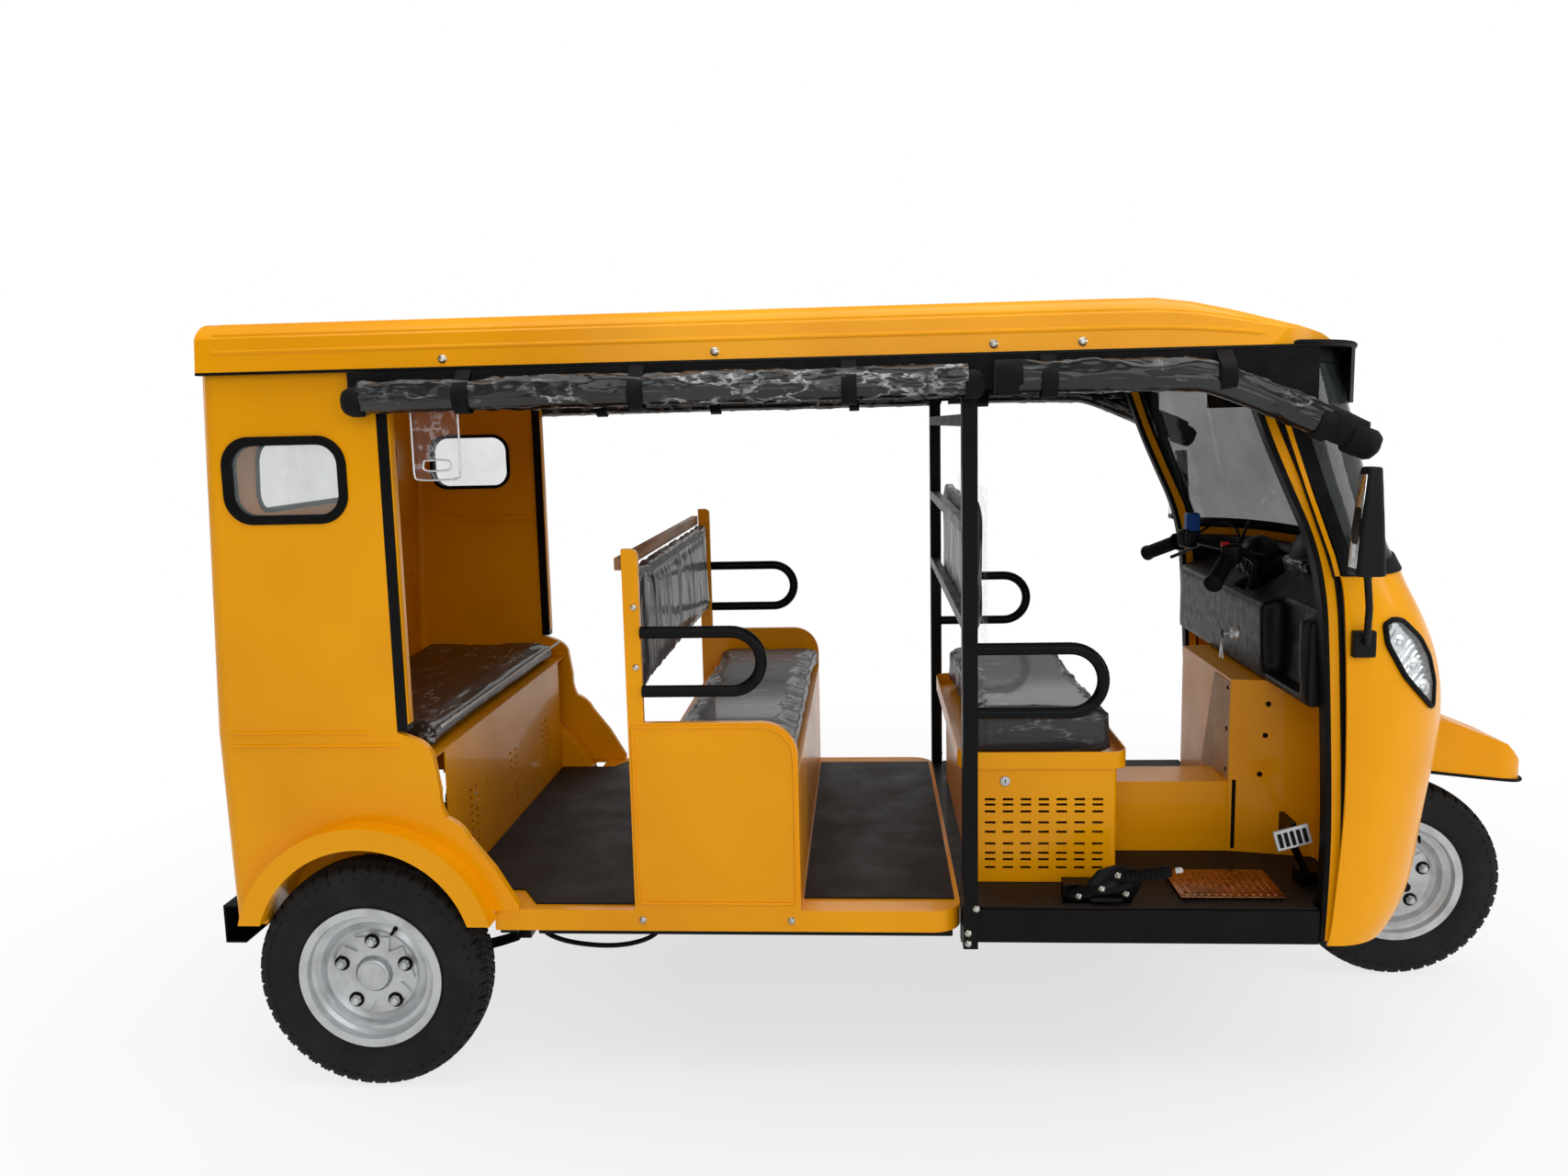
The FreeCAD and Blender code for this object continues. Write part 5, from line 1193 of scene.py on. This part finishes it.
def makeGrip(side, label):
    p = gripPlan
    start, end = (Vector(spot) for spot in onSide(side, *p["ends"]))
    length, r = (end - start).length, p["radius"]
    step = (length - p["plain"]) / p["ribs"]
    profile = [(0.0, r + 0.005), (0.004, r + 0.006), (0.007, r + 0.0005)]
    for k in range(p["ribs"]):
        foot = p["first"] + step * k
        profile += [(foot, r - 0.001), (foot + step * 0.25, r + 0.0008), (foot + step * 0.7, r + 0.0008)]
    profile += [(length - 0.014, r), (length - 0.012, r + 0.003), (length - 0.004, r + 0.003),
                (length + 0.001, r - 0.004), (length + 0.002, 0.00001)]
    spun("grip_" + label, profile, "rubber", "steering", start, end - start, 40, 0.5)


def makeSwitches(side, label):
    y, band = side * 0.205, side * 0.178
    parts = [softBlock("housing", (0.790, y - 0.022, 1.146), (0.836, y + 0.022, 1.196), "dash", "steering",
                       0.010, 3, ("Z", side * 0.5)),
             softBlock("clampBand", (0.800, band - 0.009, 1.156), (0.836, band + 0.009, 1.192), "dash", "steering")]
    if side < 0:
        parts += [softBlock("stopButton", (0.786, -0.214, 1.188), (0.806, -0.196, 1.201), "button", "steering",
                            0.004),
                  softBlock("starter", (0.786, -0.212, 1.160), (0.792, -0.198, 1.172), "piping", "steering",
                            0.002, 2)]
    merged("switch_housing_" + label, parts, "steering")
    tube("hand_lever_" + label, [onSide(side, *leverLine)], 0.0052, "dash", "steering", 8)


for side, label in sides:
    makeGrip(side, label)
    makeSwitches(side, label)
softBlock("blue_wrapped_switch", (0.806, 0.182, 1.158), (0.842, 0.226, 1.242), "blue", "steering", 0.007)

controlCables = {
    "control_cable_right": mm((832, -178, 1184), (866, -150, 1232), (898, -60, 1244), (906, 0, 1205),
                              (896, 14, 1155), (902, 10, 1112)),
    "control_cable_left": mm((832, 178, 1184), (872, 150, 1222), (904, 80, 1218), (908, 36, 1182),
                             (896, 26, 1145), (902, 18, 1112)),
    "brake_hose": mm((842, -170, 1166), (880, -140, 1180), (904, -85, 1164), (900, -42, 1138), (906, -20, 1114)),
}
for name, route in controlCables.items():
    declareCord(tube(name, [route], 0.0035, "rubber", "steering", 14), route)
print("stage: handlebar made")


# seat details

filmPlan = {"columns": 70, "rows": 30, "inset": 0.01, "below": 0.02, "above": 0.01, "proud": 0.0065,
            "crease": 0.004}


def makeSeatDetails():
    low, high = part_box("rear_seat_cushion")
    edge = [(high.x - 0.003, low.y + 0.03, high.z - 0.006), (high.x - 0.0015, 0.0, high.z - 0.005),
            (high.x - 0.003, high.y - 0.03, high.z - 0.006)]
    tube("rear_cushion_piping", [edge], 0.0042, "piping", "root", 20)
    low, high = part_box("middle_seat_back")
    softBlock("middle_back_board", (-0.648, low.y + 0.004, high.z - 0.022),
              (-0.628, high.y - 0.004, high.z + 0.006), "board", "root", 0.002, 2)
    merged("middle_back_screws", [fixing("backScrew", (-0.603, side * 0.6285, z), (0, side, 0))
                                  for side, _ in sides for z in (0.985, 1.120)])


def makeBackFilm():
    # the clear cover over the back of the driver's seat
    p = filmPlan
    low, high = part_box("driver_seat_back")
    width, height = high.y - low.y - 2 * p["inset"], high.z - low.z + p["below"] + p["above"]
    verts = []
    for j in range(p["rows"]):
        z = low.z - p["below"] + height * j / (p["rows"] - 1)
        for i in range(p["columns"]):
            y = low.y + p["inset"] + width * i / (p["columns"] - 1)
            crease = noise.noise(Vector((y * 7, z * 5, 0.4))) + 0.4 * noise.noise(Vector((y * 17, z * 13, 1.7)))
            verts.append((high.x + p["proud"] + p["crease"] * crease, y, z))
    film = meshPiece("driver_back_film", verts, gridFaces(p["rows"], p["columns"]), "film", "root", 1.5)
    declareSheet(film, width)


# a clear tag with a hand hole that hangs from the rolled film, and bright mirror-finish lines along its edges that
# are painted highlights
pullPlan = {"x": -1.022, "y": -0.640, "low": 1.410, "high": 1.560, "width": 0.105, "columns": 14, "rows": 18,
            "holeColumns": range(3, 10), "holeRows": range(12, 15), "drape": 1.02}
pullGlintLines = [
    mm((-1074.5, -640, 1556), (-1074.5, -639, 1480), (-1074.5, -640, 1418), (-1068, -640, 1410),
       (-1022, -641, 1409), (-976, -640, 1410), (-969.5, -640, 1418), (-969.5, -639, 1480), (-969.5, -640, 1556)),
    mm((-1050, -640, 1452), (-1022, -640, 1453), (-995, -640, 1452), (-991, -640, 1446), (-991, -640, 1436),
       (-995, -640, 1430), (-1022, -640, 1429), (-1050, -640, 1430), (-1054, -640, 1440), (-1050, -640, 1452)),
]


def makePull():
    p = pullPlan
    columns, rows, height = p["columns"], p["rows"], p["high"] - p["low"]
    verts = []
    for j in range(rows):
        for i in range(columns):
            bend = 0.003 * math.sin(j * 0.5) + 0.002 * noise.noise(Vector((i * 0.3, j * 0.3, 1.0)))
            verts.append((p["x"] - p["width"] / 2 + p["width"] * i / (columns - 1), p["y"] + bend,
                          p["high"] - height * j / (rows - 1)))
    faces = [face for face in gridFaces(rows, columns)
             if face[0] // columns not in p["holeRows"] or face[0] % columns not in p["holeColumns"]]
    piece = meshPiece("curtain_pull_right", verts, faces, "film", "root", 1.5)
    # bright tubes on the tag's edges: painted highlights
    tube("curtain_pull_edge_glints", pullGlintLines, 0.0022, "mirror")


makeSeatDetails()
makeBackFilm()
makePull()
print("stage: seat details made")


# cab details

coverPlan = {
    "from": 0.6, "corners": ((-0.226, 0.606), (0.007, 0.586), (-0.095, 0.851), (-0.226, 0.851)),
    "proud": 0.0005, "thick": 0.0025, "screwY": -0.210, "screwZ": (0.625, 0.730, 0.835),
    "sideScrews": ((0.90, 0.80), (0.895, 0.72), (0.885, 0.62)), "sideFrom": -1.0, "nearest": -0.5,
}


def makeHumpCover():
    # the board on the hump's rear face, with the screws there and on the hump's side
    p, wall, ahead = coverPlan, ["front_bulkhead"], (1, 0, 0)
    front = [onSkin(wall, (p["from"], y, z), ahead, p["proud"]) for y, z in p["corners"]]
    back = [spot - Vector((p["thick"], 0, 0)) for spot in front]
    meshPiece("hump_cover", front + back, barFaces(2, 4), "beige", "root", 0.4)
    starts = [(p["from"], p["screwY"], z) for z in p["screwZ"]]
    screws = [fixing("coverScrew", spot, (-1, 0, 0)) for spot in skinLine(wall, starts, ahead, 0.003)]
    starts = [(x, p["sideFrom"], z) for x, z in p["sideScrews"]]
    screws += [fixing("humpScrew", spot, (0, -1, 0)) for spot in skinLine(wall, starts, (0, 1, 0))
               if spot[1] > p["nearest"]]
    merged("hump_screws", screws)


def makeTreadPlate():
    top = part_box("floor_mats")[1].z
    parts = []
    for k in range(13):
        x = 0.628 + 0.0165 * k
        parts.append(softBlock("rib", (x, -0.545, top), (x + 0.009, -0.395, top + 0.0045), "copper", "root",
                               0.002, 2))
    parts.append(softBlock("plate", (0.615, -0.555, top - 0.001), (0.850, -0.385, top + 0.0022), "copper",
                           "root", 0.001, 2))
    merged("tread_plate", parts)


brakePlan = {
    "start": (0.470, -0.566, 0.4755), "end": (0.590, -0.605, 0.5080), "ribs": 9, "ribStep": 11,
    "outline": mm((345, 419), (500, 419), (524, 466), (505, 500), (462, 508), (425, 496), (400, 462), (352, 446)),
    "plateY": (-0.5745, -0.5695), "bolts": ((0.470, 0.484), (0.434, 0.452), (0.382, 0.434), (0.488, 0.440)),
}


def makeHandbrakeGrip():
    start, end = Vector(brakePlan["start"]), Vector(brakePlan["end"])
    profile = [(0, 11.8), (3, 13.8)]
    for k in range(brakePlan["ribs"]):
        foot = brakePlan["ribStep"] * k
        profile += [(8 + foot, 12.8), (11 + foot, 14.6), (16 + foot, 14.6)]
    profile += [(110, 13.5), (120, 12), (122, 0.1)]
    spun("handbrake_grip", mm(*profile), "rubber", "root", start, end - start, 32, 0.5)
    fixing("brakeButton", end, end - start, "handbrake_button")


def makeHandbrakeBracket():
    p = brakePlan
    verts = [(x, y, z) for y in p["plateY"] for x, z in p["outline"]]
    parts = [meshPiece("plate", verts, barFaces(2, len(p["outline"])), "black", "root", 0.4)]
    parts += [fixing("bracketBolt", (x, p["plateY"][0], z), (0, -1, 0)) for x, z in p["bolts"]]
    parts.append(softBlock("spring", (0.405, -0.590, 0.424), (0.480, -0.577, 0.437), "black"))
    merged("handbrake_bracket", parts)


makeHumpCover()
makeTreadPlate()
makeHandbrakeGrip()
merged("sill_bolts", [fixing("sillBolt", (x, side * 0.628, 0.396), (0, side, 0))
                      for side, _ in sides for x in (-0.610, -0.269)])
merged("box_lock", [fixing("boxLock", (0.232, -0.4405, 0.665), (0, -1, 0)),
                    softBlock("keyway", (0.2308, -0.4455, 0.660), (0.2332, -0.4440, 0.670), "rubber", "root",
                              0.0004, 1)])
makeHandbrakeBracket()
print("stage: cab details made")


# body trim

trimPlan = {
    "panelY": 0.6292,
    "panel": mm((-618, 440), (-618, 640), (-618, 842), (-618, 849), (-611, 849), (-450, 849), (-332, 849),
                (-300, 845), (-262, 812), (-256, 778), (-256, 600), (-256, 445), (-256, 438), (-264, 436),
                (-430, 436), (-610, 436)),
    "rear": ["rear_side_right", "rear_side_left", "rear_panel"], "behind": -2.2,
    "beltZ": (0.812, 0.842), "beltX": (-1.152, -1.22, -1.30, -1.38, -1.46, -1.52, -1.545),
    "beltY": (0.60, 0.50, 0.25, 0.0), "beltProud": 0.0008,
    "innerZ": (1.244, 1.222), "innerX": (-1.16, -1.24, -1.32, -1.40, -1.48, -1.53), "innerProud": 0.0005,
    "guard": ((1360, 92.5, 580), (1450, 92.5, 569), (1535, 92.5, 559.5), (1585, 87, 553.5), (1612, 62, 550),
              (1619.5, 30, 549), (1619.8, 0, 549)),
    "postBolts": ((0.128, 0.372), (0.128, 0.348), (0.146, 0.430)), "boltSunk": 0.0005,
}


def makeBodyTrim(side, label):
    p, inward = trimPlan, (0, -side, 0)
    panel = [(x, side * p["panelY"], z) for x, z in p["panel"]]
    tube("middle_panel_bead_" + label, [panel], 0.0032, "paint", "root", 5, True)
    belts = []
    for z in p["beltZ"]:
        flank = skinLine(p["rear"], [(x, side * beside, z) for x in p["beltX"]], inward, p["beltProud"])
        back = skinLine(p["rear"], [(p["behind"], side * y, z) for y in p["beltY"]], (1, 0, 0), p["beltProud"])
        belts.append(flank + back)
    tube("belt_beads_" + label, belts, 0.0036, "paint", "root", 4)
    inner = [skinLine(p["rear"][:2], [(x, 0, z) for x in p["innerX"]], (0, side, 0), p["innerProud"])
             for z in p["innerZ"]]
    tube("inner_beads_" + label, inner, 0.004, "paint", "root", 4)
    softBlock("door_post_edge_" + label, (-1.1295, side * 0.603, 0.860), (-1.1265, side * 0.634, 1.618), "paint",
              "root", 0.001, 2)
    softBlock("lower_rail_" + label, (-0.862, side * 0.556, 0.350), (0.096, side * 0.604, 0.3695), "black",
              "root", 0.003, 2)
    tube("mudguard_edge_" + label, [onSide(side, *p["guard"])], 0.0042, "rubber", "steering", 8)
    starts = [(x, side * beside, z) for x, z in p["postBolts"]]
    merged("post_bolts_" + label, [fixing("postBolt", spot, (0, side, 0))
                                   for spot in skinLine(["roof_frame"], starts, inward, -p["boltSunk"])])


def makePedalPad():
    lean = ("Y", math.radians(-16))
    parts = [softBlock("plate", (0.828, -0.5320, 0.534), (0.908, -0.5235, 0.582), "silver", "root", 0.003, 3, lean)]
    for k in range(5):
        x, z = 0.836 + 0.0135 * k, 0.541 + 0.0037 * (k - 2)
        parts.append(softBlock("ridge", (x, -0.5350, z), (x + 0.009, -0.5310, z + 0.034), "rubber", "root",
                               0.002, 2, lean))
    merged("pedal_pad", parts)


for side, label in sides:
    makeBodyTrim(side, label)
tube("hump_edge", [mm((826.5, -228.5, 425), (826.5, -228.5, 520), (826.5, -228.5, 602))], 0.0048, "rubber")
makePedalPad()
print("stage: body trim made")
